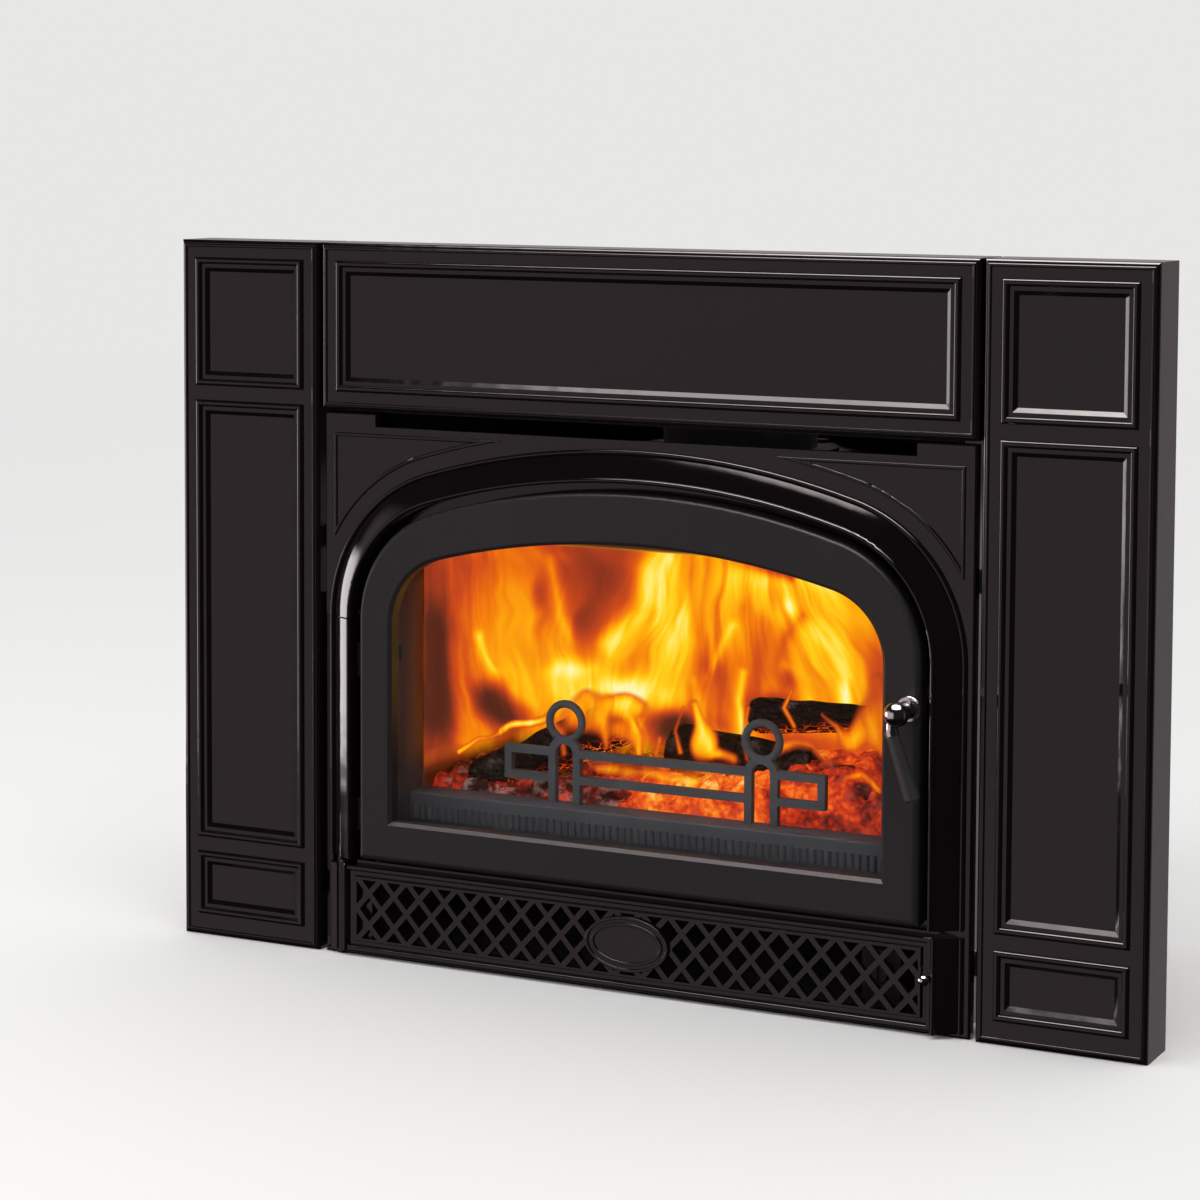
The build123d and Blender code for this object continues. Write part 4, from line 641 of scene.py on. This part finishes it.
# smooth random field, about -1 to 1: the sum of sine waves in seeded random directions; a larger
# fineness gives shorter waves
def waves(points, seed, fineness, count=28):
    random = np.random.default_rng(seed)
    directions = random.normal(size=(count, 3)) * fineness
    phases = random.uniform(0, 2 * np.pi, count)
    return np.sin(points @ directions.T + phases).sum(-1) / math.sqrt(count)


# the same field over a grid of points, with its first two axes
def gridWaves(points, seed, fineness):
    return waves(points.reshape(-1, 3), seed, fineness).reshape(points.shape[:2])


# one number for each point, for the materials to read
def keepNumbers(piece, name, values):
    holder = piece.data.attributes.new(name, "FLOAT", "POINT")
    holder.data.foreach_set("value", values.astype(np.float32).ravel())


logs = {
    # middle, length, radii at the low and high end, lean and turn in degrees, as in the part
    "left_log": {"middle": (-0.155, 0.070, 0.208), "length": 0.195, "radii": (0.025, 0.027),
                 "lean": 26, "turn": 4, "seed": 3},
    "centre_log": {"middle": (0.052, 0.096, 0.208), "length": 0.170, "radii": (0.031, 0.034),
                   "lean": -4, "turn": -6, "seed": 8},
    "upper_log": {"middle": (0.122, 0.120, 0.2602), "length": 0.140, "radii": (0.020, 0.015),
                  "lean": 2, "turn": 8, "seed": 14},
    "rear_log": {"middle": (0.0, 0.226, 0.214), "length": 0.380, "radii": (0.038, 0.034),
                 "lean": 2, "turn": -3, "seed": 21},
}
bark = {
    "rows": 150, "columns": 120,
    "inset": 0.0016, "endInset": 0.002,        # how far the bark and its ends stay inside the part's log
    "narrowing": 0.16, "narrowingLength": 0.006,
    "lump": 0.00168, "lumpLimit": 0.6, "lumpFineness": 55,
    "ridge": 0.0022, "ridgeSharpness": 3.5, "ridgeFineness": 620,
    "grain": 0.14,                             # of the ridges' fineness is left along the log
    "bite": 0.0014, "biteFineness": 300, "hollow": 0.002,
}


# a round carried along a straight line: its radius tapers, swells with slow lumps and is cut by
# long ridges, and both ends close in a broken, hollowed face
def makeLog(name, log, b):
    lean, turn = math.radians(log["lean"]), math.radians(log["turn"])
    along = np.array([math.cos(lean) * math.cos(turn), math.cos(lean) * math.sin(turn), math.sin(lean)])
    side = np.cross(along, (0, 0, 1))
    side /= np.linalg.norm(side)
    upward = np.cross(side, along)
    rows, columns = b["rows"], b["columns"]
    t = np.linspace(0, 1, rows)[:, None]
    angle = np.linspace(0, 2 * np.pi, columns, endpoint=False)[None, :]
    radius = log["radii"][0] * (1 - t) + log["radii"][1] * t
    end = np.minimum(t, 1 - t) * log["length"]
    radius = radius * (1 - b["narrowing"] * np.exp(-(end / b["narrowingLength"]) ** 2)) - b["inset"]
    circle = side * np.cos(angle)[..., None] + upward * np.sin(angle)[..., None]
    core = np.array(log["middle"]) + along * ((t - 0.5) * (log["length"] - 2 * b["endInset"]))[..., None]
    flat = core + circle * radius[..., None]
    lumps = gridWaves(flat, log["seed"], b["lumpFineness"])
    grained = flat @ np.stack([along * b["grain"], side, upward]).T
    ridges = gridWaves(grained, log["seed"] + 1, b["ridgeFineness"])
    radius = radius + np.minimum(lumps, b["lumpLimit"]) * b["lump"]
    radius = radius - np.exp(-np.abs(ridges) * b["ridgeSharpness"]) * b["ridge"]
    points = core + circle * radius[..., None]
    ragged = gridWaves(flat[[0, -1]], log["seed"] + 2, b["biteFineness"]) * b["bite"]
    points[0] += along * (ragged[0] - ragged[0].min())[:, None]
    points[-1] -= along * (ragged[1] - ragged[1].min())[:, None]
    caps = np.array([points[0].mean(0) + along * b["hollow"], points[-1].mean(0) - along * b["hollow"]])
    everything = np.concatenate([points.reshape(-1, 3), caps])
    first, last = np.arange(columns), (rows - 1) * columns + np.arange(columns)
    centre = rows * columns
    triangles = np.concatenate([fanTriangles(centre, first, True), fanTriangles(centre + 1, last)])
    quads = gridQuads(rows, columns, True)[:, ::-1]
    piece = makePiece(name.replace("_log", "Log"), everything, quads, triangles[:, ::-1])
    # how far each point faces down
    under = np.broadcast_to(-circle[..., 2], (rows, columns)).ravel()
    keepNumbers(piece, "warmth", np.append(under, [0, 0]))
    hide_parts(name)
    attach(piece, "insert")
    return piece


char = {
    "dark": (0.010, 0.007, 0.006), "light": (0.045, 0.028, 0.020), "ash": (0.30, 0.25, 0.23),
    "scales": 95.0, "across": (1.0, 1.6, 1.6), "grain": 420.0, "ashClouds": 38.0, "heatClouds": 22.0,
    "ashShare": 0.55, "crackWidth": 0.13, "crackDepth": 0.0022, "grainDepth": 0.0007,
    "roughness": 0.9, "gloss": 0.15,
    "heat": [(0.0, (0.0, 0.0, 0.0)), (0.35, (0.35, 0.02, 0.0)), (0.75, (1.0, 0.16, 0.01)),
             (1.0, (1.0, 0.45, 0.06))],
}


def charFinish(b):
    # burnt wood: black scales parted by cross cracks, grey ash on the scales that face up, and
    # red heat in the cracks of the under side
    r = Recipe("charredWood")
    cracks = r.cells(b["scales"], "DISTANCE_TO_EDGE", r.stretched(b["across"]))
    fine = r.cloud(b["grain"], 4.0, 0.65)
    crack = (1.0 - r.step(cracks, 0.0, b["crackWidth"])) * r.step(fine, 0.30, 0.62)
    under = r.stored("warmth")
    ash = r.step(r.cloud(b["ashClouds"], 5.0, 0.7), 0.50, 0.72) * r.step(0.0 - under, -0.1, 0.8)
    colour = r.between(ash * b["ashShare"], r.tone(fine, b), b["ash"])
    hot = crack * r.step(under + (r.cloud(b["heatClouds"]) - 0.5) * 1.4, 0.15, 0.8)
    relief = r.relief(r.step(cracks, 0.0, 0.16), b["crackDepth"], r.relief(fine, b["grainDepth"]))
    return r.finish(b, colour=colour, normal=relief, glow=r.shades(hot, b["heat"]), glowStrength=1.0)


charred = charFinish(char)
for logName, logSizes in logs.items():
    makeLog(logName, logSizes, bark).data.materials.append(charred)
print("logs made")


bed = {
    "half": 0.2795, "near": 0.0245, "far": 0.3235, "foot": 0.1383,
    # height of the crest across the hearth
    "crest": ((-0.28, 0.188), (-0.235, 0.178), (-0.11, 0.190), (0.0, 0.204), (0.08, 0.214), (0.15, 0.229),
              (0.19, 0.233), (0.235, 0.206), (0.28, 0.202)),
    "columns": 260, "rows": 150,
    "sunk": 0.016, "nearFall": 0.010, "nearFallWidth": 0.02,
    "lumps": 900, "lumpSize": (0.006, 0.017), "lumpSquash": (0.6, 1.6), "lumpHeight": (0.5, 0.9),
    "seed": 11,
}
coals = {
    "count": 520, "size": (0.005, 0.0135), "stretch": (0.65, 1.35), "dents": (0.74, 1.12), "tip": 0.7,
    "sideBorder": 0.02, "nearBorder": 0.016, "farBorder": 0.034, "crowding": 1.7,
    "sunk": 0.0135, "settling": 0.006, "rings": 5, "sides": 8, "seed": 5,
}


# straight lines between the crest's points
def bedHeight(x):
    places, heights = np.array(bed["crest"]).T
    return np.interp(x, places, heights)


# a height field over the hearth: the crest line, less a fall to the near edge, plus round lumps
# that each stand out where they are highest; its border drops straight to the hearth
def makeBed(b):
    random = np.random.default_rng(b["seed"])
    x = np.linspace(-b["half"], b["half"], b["columns"])[None, :]
    y = np.linspace(b["near"], b["far"], b["rows"])[:, None]
    crest = bedHeight(x) + 0 * y
    base = crest - b["sunk"] - b["nearFall"] * np.exp(-((y - b["near"]) / b["nearFallWidth"]) ** 2)
    lumps = np.zeros_like(base)
    for _ in range(b["lumps"]):
        cx, cy = random.uniform(-b["half"], b["half"]), random.uniform(b["near"], b["far"])
        size = random.uniform(*b["lumpSize"])
        squash = random.uniform(*b["lumpSquash"])
        near = 1 - (((x - cx) * squash) ** 2 + ((y - cy) / squash) ** 2) / size ** 2
        lumps = np.maximum(lumps, np.sqrt(np.maximum(near, 0)) * size * random.uniform(*b["lumpHeight"]))
    z = np.minimum(base + lumps, crest)
    x, y = np.broadcast_to(x, z.shape), np.broadcast_to(y, z.shape)
    points = np.stack([x, y, z], -1)
    rows, columns = z.shape
    # the skirt: a copy of the border at the foot, then one point under the middle
    border = np.concatenate([np.arange(columns), np.arange(1, rows) * columns + columns - 1,
                             (rows - 1) * columns + np.arange(columns - 2, -1, -1),
                             np.arange(rows - 2, 0, -1) * columns])
    foot = points.reshape(-1, 3)[border].copy()
    foot[:, 2] = b["foot"]
    everything = np.concatenate([points.reshape(-1, 3), foot, [[0, (b["near"] + b["far"]) / 2, b["foot"]]]])
    skirt = rows * columns + np.arange(len(border))
    sides = np.stack([border, skirt, np.roll(skirt, -1), np.roll(border, -1)], -1)
    piece = makePiece("emberBed", everything, np.concatenate([gridQuads(rows, columns), sides]),
                      fanTriangles(len(everything) - 1, skirt, True))
    keepNumbers(piece, "own", np.full(len(everything), 0.5))
    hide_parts("ember_bed")
    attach(piece, "insert")
    return piece


# turns about one axis by the given angles: the cosine and sine in the rows and columns of the other two
def turns(angles, first, second):
    made = np.tile(np.eye(3), (len(angles), 1, 1))
    made[:, first, first], made[:, first, second] = np.cos(angles), -np.sin(angles)
    made[:, second, first], made[:, second, second] = np.sin(angles), np.cos(angles)
    return made


# small uneven lumps: rings of points on a squashed ball, pushed in and out at random
def makeCoals(c, b):
    random = np.random.default_rng(c["seed"])
    latitude = np.linspace(0, np.pi, c["rings"] + 2)[1:-1][:, None]
    around = np.linspace(0, 2 * np.pi, c["sides"], endpoint=False)[None, :]
    ball = np.stack([np.sin(latitude) * np.cos(around), np.sin(latitude) * np.sin(around),
                     np.cos(latitude) + 0 * around], -1).reshape(-1, 3)
    ball = np.concatenate([ball, [[0, 0, 1], [0, 0, -1]]])
    count, size = c["count"], len(ball)
    scale = random.uniform(*c["size"], (count, 1, 1)) * random.uniform(*c["stretch"], (count, 1, 3))
    shapes = ball[None] * scale * random.uniform(*c["dents"], (count, size, 1))
    yaw = random.uniform(0, 2 * np.pi, count)
    tip = random.uniform(-c["tip"], c["tip"], count)
    shapes = np.einsum("cij,cjk,cpk->cpi", turns(yaw, 0, 1), turns(tip, 1, 2), shapes)
    x = random.uniform(-b["half"] + c["sideBorder"], b["half"] - c["sideBorder"], count)
    depth = b["far"] - b["near"] - c["nearBorder"] - c["farBorder"]
    y = b["near"] + c["nearBorder"] + depth * random.uniform(0, 1, count) ** c["crowding"]
    z = bedHeight(x) - c["sunk"] - random.uniform(0.0, c["settling"], count)
    points = (shapes + np.stack([x, y, z], -1)[:, None]).reshape(-1, 3)
    quads = gridQuads(c["rings"], c["sides"], True)[:, ::-1]
    top, bottom = size - 2, size - 1
    lowest = (c["rings"] - 1) * c["sides"]
    triangles = np.concatenate([fanTriangles(top, np.arange(c["sides"])),
                                fanTriangles(bottom, lowest + np.arange(c["sides"]), True)])
    shift = (np.arange(count) * size)[:, None, None]
    piece = makePiece("coals", points, (quads[None] + shift).reshape(-1, 4),
                      (triangles[None] + shift).reshape(-1, 3))
    keepNumbers(piece, "own", np.repeat(random.uniform(0, 1, count), size))
    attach(piece, "insert")
    return piece


ember = {
    "middle": ((-0.10, -0.01), (0.085, 0.15)), "middleHeat": 0.46,
    "right": (0.08, 0.15), "rightHeat": 0.22, "evenHeat": 0.20,
    # how much wide clouds, each lump's own number and fine clouds change the heat
    "cloudHeat": 1.5, "ownHeat": 0.35, "fineHeat": 0.5, "crackleHeat": 0.12,
    "clouds": 24.0, "fine": 150.0, "crackle": 170.0, "ashClouds": 60.0,
    "cold": (0.03, 0.016, 0.013), "ash": (0.42, 0.27, 0.24), "crustDepth": 0.0012,
    "roughness": 0.95, "gloss": 0.1,
    "scale": [(0.0, (0.012, 0.002, 0.001)), (0.22, (0.16, 0.008, 0.003)), (0.42, (0.55, 0.03, 0.006)),
              (0.62, (0.95, 0.13, 0.01)), (0.80, (1.0, 0.40, 0.03)), (1.0, (1.0, 0.78, 0.30))],
}


def emberFinish(e):
    # glowing coals: yellow and orange in a band across the middle, deep red heap at the right, and
    # pinkish grey ash over the cooler lumps at the left and between the hot ones
    r = Recipe("embers")
    x = r.axis("X")
    own, clouds, fine = r.stored("own"), r.cloud(e["clouds"], 4.0, 0.6), r.cloud(e["fine"], 4.0, 0.65)
    rising, falling = e["middle"]
    middle = r.step(x, *rising) * (1.0 - r.step(x, *falling))
    right = r.step(x, *e["right"])
    heat = middle * e["middleHeat"] + right * e["rightHeat"] + e["evenHeat"]
    heat = heat + (clouds - 0.5) * e["cloudHeat"] + (own - 0.5) * e["ownHeat"] + (fine - 0.5) * e["fineHeat"]
    heat = (heat - r.step(r.cells(e["crackle"]), 0.35, 0.8) * e["crackleHeat"]).clamped()
    ashy = r.step(r.cloud(e["ashClouds"], 4.0, 0.6), 0.47, 0.62)
    ashy = ashy * (1.0 - r.step(heat, 0.20, 0.5)) * (1.0 - right * 0.8)
    return r.finish(e, colour=r.between(ashy, e["cold"], e["ash"]), glow=r.shades(heat, e["scale"]),
                    glowStrength=1.0, normal=r.relief(fine, e["crustDepth"]))


embersPaint = emberFinish(ember)
makeBed(bed).data.materials.append(embersPaint)
makeCoals(coals, bed).data.materials.append(embersPaint)
print("ember bed and coals made")


# Heat over the window, painted with soft ovals and strokes one after another, in millimetres from the
# left end of the surround and from the floor. Each pulls the heat towards its own value.
# Ovals: x, z, half width, half height, tilt to the right in degrees, value, sharpness.
# Strokes: half width, value, then the points of their path.
flameLayers = (
    {"name": "flameBack", "depth": 0.285, "lowest": 0.205, "wallGap": 0.006, "cover": 1.0, "sheer": False,
     "base": 0.5, "spread": 1.0, "seed": 4, "ovals": (
         (480, 395, 38, 50, 0, 0.30, 2.0), (590, 385, 60, 70, 0, 0.72, 1.0),
         (700, 400, 90, 60, 0, 0.74, 1.0), (590, 262, 60, 22, 0, 0.12, 2.0),
         (650, 300, 40, 40, 0, 0.40, 1.0)),
     "strokes": ()},
    {"name": "flameMain", "depth": 0.185, "lowest": 0.200, "wallGap": 0.016, "cover": 1.0, "sheer": False,
     "base": 0.57, "spread": 1.5, "seed": 9, "ovals": (
         (400, 402, 78, 66, 0, 0.44, 1.6), (304, 320, 32, 200, 0, 0.13, 2.0),
         (332, 410, 32, 46, 0, 0.33, 1.4), (345, 352, 16, 40, 6, 0.48, 1.2),
         (392, 360, 38, 52, 6, 0.62, 1.2), (484, 410, 49, 42, 0, 0.27, 2.0),
         (480, 374, 27, 32, 0, 0.27, 1.6), (512, 384, 16, 30, 28, 0.36, 1.4),
         (515, 440, 26, 10, 0, 0.36, 1.4), (450, 440, 26, 6, 0, 0.30, 1.2),
         (427, 395, 8, 18, 4, 0.34, 1.4), (404, 436, 34, 10, 0, 0.52, 1.2),
         (384, 277, 44, 21, 12, 0.14, 1.8), (520, 303, 54, 18, -4, 0.97, 1.2),
         (462, 318, 30, 10, -6, 0.88, 1.0), (573, 385, 25, 64, 8, 0.84, 1.3),
         (705, 380, 84, 66, 0, 0.70, 1.6), (700, 430, 60, 13, -6, 0.82, 1.0),
         (526, 343, 15, 24, 24, 0.48, 1.2), (640, 318, 36, 54, 8, 0.46, 1.4),
         (626, 322, 9, 24, 4, 0.28, 1.2), (668, 352, 8, 34, 6, 0.34, 1.2),
         (652, 300, 8, 30, 0, 0.34, 1.2), (584, 272, 44, 19, 0, 0.10, 2.0),
         (684, 298, 38, 14, 0, 0.20, 1.5), (700, 330, 10, 12, 0, 0.38, 1.2),
         (788, 330, 14, 74, 0, 0.40, 1.4), (772, 392, 10, 30, -20, 0.56, 1.2),
         (512, 268, 34, 20, 0, 0.54, 1.2), (740, 262, 64, 18, 0, 0.31, 1.4),
         (318, 215, 30, 26, 0, 0.30, 1.4)),
     "strokes": (
         (4, 0.99, (361, 346), (368, 330), (378, 314), (402, 299)),
         (6, 0.52, (336, 330), (338, 300), (342, 270), (338, 240)),
         (4, 0.62, (438, 428), (444, 400), (449, 372), (460, 346)),
         (9, 0.90, (500, 346), (522, 366), (540, 388), (550, 420)),
         (6, 0.96, (560, 306), (566, 340), (573, 380), (576, 436)),
         (4, 0.60, (533, 352), (543, 372), (551, 392)),
         (5, 0.97, (700, 402), (724, 386), (744, 362), (759, 333), (757, 306)),
         (4, 0.84, (684, 392), (703, 362), (713, 332), (717, 312)),
         (3, 0.80, (688, 345), (703, 344), (712, 330), (713, 308)),
         (6, 0.48, (668, 384), (669, 360), (675, 332)), (6, 0.52, (648, 396), (642, 370), (629, 350)),
         (4, 0.86, (599, 322), (604, 292), (613, 266), (624, 248)),
         (3, 0.82, (614, 328), (627, 350), (641, 378)), (3, 0.80, (650, 330), (646, 300), (650, 262)),
         (5, 0.44, (613, 338), (620, 312), (617, 276)), (7, 0.84, (622, 256), (640, 254), (652, 258)),
         (8, 0.60, (400, 302), (424, 282), (446, 258)), (10, 0.80, (446, 300), (468, 282), (482, 252)),
         (4, 0.88, (529, 294), (539, 272), (540, 250)), (5, 0.42, (500, 292), (512, 272), (516, 252)),
         (5, 0.50, (712, 396), (694, 372), (686, 346)), (5, 0.60, (770, 404), (776, 372), (774, 330)),
         (4, 0.30, (640, 442), (680, 436), (700, 430)))},
    {"name": "flameFront", "depth": 0.038, "lowest": 0.196, "wallGap": 0.020, "cover": 0.94, "sheer": True,
     "base": 0.0, "spread": 1.35, "seed": 17, "ovals": (
         (560, 226, 84, 15, 0, 0.34, 1.6), (788, 292, 17, 26, -10, 0.60, 1.3),
         (628, 234, 20, 5, -4, 0.74, 1.0), (482, 277, 34, 24, -20, 0.66, 1.6),
         (524, 262, 24, 14, 0, 0.52, 1.4), (526, 289, 26, 13, 0, 0.84, 1.4),
         (608, 262, 16, 22, 20, 0.62, 1.4)),
     "strokes": (
         (2.4, 0.74, (334, 222), (358, 241), (388, 252)),
         (3.0, 0.92, (384, 252), (412, 263), (438, 274)),
         (4, 0.72, (494, 222), (530, 226), (566, 222), (600, 220)),
         (4, 0.62, (436, 274), (452, 258), (456, 236)), (5, 0.74, (480, 292), (500, 268), (503, 246)),
         (4, 0.80, (528, 280), (538, 262), (538, 246)), (3, 0.62, (586, 296), (578, 272), (584, 250)),
         (5, 0.80, (598, 300), (608, 272), (618, 250), (640, 248)),
         (3, 0.70, (655, 300), (650, 274), (656, 250)), (7, 0.62, (690, 260), (724, 268), (744, 254)),
         (5, 0.74, (762, 238), (776, 240), (792, 230)), (4, 0.55, (560, 262), (556, 246), (566, 236)),
         (4, 0.66, (686, 222), (710, 226), (728, 224)), (5, 0.70, (668, 224), (672, 214), (670, 204)),
         (11, 0.66, (768, 274), (786, 288), (796, 312), (790, 338)),
         (8, 0.58, (800, 268), (806, 290), (812, 312)), (3, 0.60, (736, 300), (752, 290), (764, 272)),
         (3, 0.55, (700, 318), (692, 300), (704, 280)))},
)
flameSheet = {
    "columns": 380, "rows": 200, "below": 0.02,
    "left": -0.236, "top": 0.470, "plane": -0.058,       # where the heat is painted
    "leftEnd": 530,                                      # millimetres from the surround's left end to X = 0
    "wall": 0.272, "roof": 0.417, "limit": 0.274,        # how far the sheet may reach in the firebox
    "overlap": 0.012,
    # slow waves of the depth and of the painting, and how much of their fineness is left upwards
    "sway": 0.004, "swayFineness": 16, "swayUpwards": 0.4,
    "drift": (2.2, 3.0), "driftFineness": 70, "driftUpwards": 0.5,
    "footFade": (0.015, 0.03), "roofFade": 0.006, "sideFade": 0.01, "sheerHeat": (0.26, 0.26),
    # streaks lean as the flames do: how much, about which place, over what width
    "leans": ((0.34, 0.02, 0.06), (-0.25, -0.15, 0.05), (-0.45, 0.20, 0.07)), "leanFrom": 0.3,
    "strokeSharpness": 1.5, "unevenness": 0.16, "unevenWaves": (21.0, 33.0),
}


# ovals fall off as exp(-distance ** (2 sharp)), strokes as exp(-distance ** 1.5) from their path
def paintHeat(x, z, layer, g):
    heat = np.full(x.shape, layer["base"])
    for ox, oz, halfWidth, halfHeight, tilt, value, sharp in layer["ovals"]:
        a = math.radians(tilt)
        across = ((x - ox) * math.cos(a) - (z - oz) * math.sin(a)) / halfWidth
        upward = ((x - ox) * math.sin(a) + (z - oz) * math.cos(a)) / halfHeight
        heat = heat + (value - heat) * np.exp(-(across ** 2 + upward ** 2) ** sharp)
    for width, value, *path in layer["strokes"]:
        nearest = np.full(x.shape, np.inf)
        for (x0, z0), (x1, z1) in zip(path, path[1:]):
            along = ((x - x0) * (x1 - x0) + (z - z0) * (z1 - z0)) / ((x1 - x0) ** 2 + (z1 - z0) ** 2)
            along = np.clip(along, 0, 1)
            nearest = np.minimum(nearest, np.hypot(x - x0 - along * (x1 - x0), z - z0 - along * (z1 - z0)))
        across, upward = g["unevenWaves"]
        uneven = 1 + g["unevenness"] * (np.sin(x / across + z / upward + value * 40) - 1)
        fall = np.exp(-(nearest / (width * layer["spread"])) ** g["strokeSharpness"])
        heat = heat + (value - heat) * uneven * fall
    return heat


# a sheet in front of the window's own plane, pushed back along the sight lines to its depth, but
# never through the left wall; its depth and its painting sway with slow waves
def makeFlame(layer, g):
    eye = np.array(viewpoint["place"])
    # the sight line that meets the right wall at this depth
    share = (g["plane"] - eye[1]) / (layer["depth"] + g["overlap"] - eye[1])
    right = eye[0] + (g["wall"] - eye[0]) * share
    x = np.linspace(g["left"], right, g["columns"])[None, :]
    z = np.linspace(layer["lowest"] - g["below"], g["top"], g["rows"])[:, None]
    x, z = np.broadcast_arrays(x, z)
    sight = np.stack([x, np.full(x.shape, g["plane"]), z], -1) - eye
    swaying = gridWaves(np.stack([x, z * g["swayUpwards"], 0 * x], -1), layer["seed"], g["swayFineness"])
    depth = layer["depth"] + g["sway"] * swaying
    # where a sight line meets the left wall
    wallDepth = eye[1] + sight[..., 1] * (-g["wall"] - eye[0]) / sight[..., 0]
    depth = np.minimum(depth, np.where(sight[..., 0] < 0, wallDepth, np.inf) - layer["wallGap"])
    points = eye + sight * ((depth - eye[1]) / sight[..., 1])[..., None]
    drifting = np.stack([x, z * g["driftUpwards"], 0 * x], -1)
    driftX, driftZ = (amount * gridWaves(drifting, layer["seed"] + 1 + i, g["driftFineness"])
                      for i, amount in enumerate(g["drift"]))
    heat = paintHeat(x * 1000 + g["leftEnd"] + driftX, z * 1000 + driftZ, layer, g)
    under, over = g["footFade"]
    rim = np.clip((points[..., 2] - layer["lowest"] + under) / over, 0, 1)
    rim = rim * np.clip((g["roof"] - points[..., 2]) / g["roofFade"], 0, 1)
    rim = rim * np.clip((g["limit"] - points[..., 0]) / g["sideFade"], 0, 1)
    if layer["sheer"]:
        coolest, rise = g["sheerHeat"]
        rim = rim * np.clip((heat - coolest) / rise, 0, 1)
    points[..., 2] = np.minimum(points[..., 2], g["roof"])
    points[..., 0] = np.clip(points[..., 0], -g["limit"], g["limit"])
    piece = makePiece(layer["name"], points.reshape(-1, 3), gridQuads(*x.shape))
    keepNumbers(piece, "warmth", heat)
    keepNumbers(piece, "cover", rim * layer["cover"])
    lean = sum(amount * np.exp(-((x - place) / width) ** 2) for amount, place, width in g["leans"])
    flow = np.stack([x - lean * (z - g["leanFrom"]), z], -1)
    loopVertex = np.zeros(len(piece.data.loops), np.int32)
    piece.data.loops.foreach_get("vertex_index", loopVertex)
    uv = piece.data.uv_layers.new(name="flow")
    uv.data.foreach_set("uv", flow.reshape(-1, 2)[loopVertex].astype(np.float32).ravel())
    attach(piece, "insert")
    return piece


fire = {
    # widths and lengths of the pattern: larger numbers make it finer
    "swirl": 11.0, "bend": (0.055, 0.05, 0.0),
    "tongues": (30.0, 6.0, 1.0), "threads": (46.0, 6.0, 1.0), "strands": (110.0, 12.0, 1.0),
    "tongueShare": 0.32, "threadShare": 0.08, "strandShare": 0.20, "threadSharpness": 2.4,
    "roughness": 1.0, "gloss": 0.0, "strength": 1.12, "sheerFloor": 0.86, "tongueCover": 0.45,
    "offset": 0.37,            # between the patterns of one sheet and the next
    "scale": [(0.0, (0.030, 0.008, 0.005)), (0.12, (0.105, 0.022, 0.010)), (0.26, (0.37, 0.042, 0.012)),
              (0.38, (0.62, 0.072, 0.009)), (0.53, (0.86, 0.180, 0.003)), (0.68, (0.98, 0.39, 0.003)),
              (0.80, (1.0, 0.60, 0.010)), (0.90, (1.0, 0.75, 0.10)), (1.0, (1.0, 0.87, 0.37))],
}


def flameFinish(layer, shift, f):
    # fire: the painted heat, broken up by tongues and by thin bright threads that follow the flow, read
    # through a scale from smoke brown over red and orange to pale yellow
    r = Recipe(layer["name"] + "Fire")
    heat, cover = r.stored("warmth"), r.stored("cover")
    flow = r.node("ShaderNodeUVMap", {"uv_map": "flow"})
    swirl = r.node("ShaderNodeTexNoise", None, {"Vector": flow, "Scale": f["swirl"], "Detail": 2.0},
                   output="Color")
    bent = r.node("ShaderNodeVectorMath", {"operation": "MULTIPLY_ADD"}, {0: swirl, 1: f["bend"], 2: flow})
    bent = r.node("ShaderNodeVectorMath", {"operation": "ADD"}, {0: bent, 1: (shift, shift * 0.7, 0.0)})
    tongues = r.step(r.cloud(1.0, 3.0, 0.5, r.stretched(f["tongues"], bent), 0.2), 0.32, 0.68)
    threads = r.cloud(1.0, 2.0, 0.5, r.stretched(f["threads"], bent), 0.3)
    threads = (1.0 - (threads * 2.0 - 1.0).size() * f["threadSharpness"]).clamped() ** 3.0
    strands = r.cloud(1.0, 3.0, 0.6, r.stretched(f["strands"], bent), 0.3)
    broken = (tongues - 0.56) * f["tongueShare"] + (strands - 0.5) * f["strandShare"]
    broken = broken + threads * f["threadShare"]
    value = heat + broken * (heat + 0.10) - 0.02
    floor = f["sheerFloor"] if layer["sheer"] else 1.0
    alpha = (cover * (floor + tongues * f["tongueCover"])).clamped()
    return r.finish(f, colour=(0.0, 0.0, 0.0), alpha=alpha, glow=r.shades(value.clamped(), f["scale"]),
                    glowStrength=f["strength"])


for index, flameLayer in enumerate(flameLayers):
    flame = makeFlame(flameLayer, flameSheet)
    flame.data.materials.append(flameFinish(flameLayer, index * fire["offset"], fire))
print("flames made")
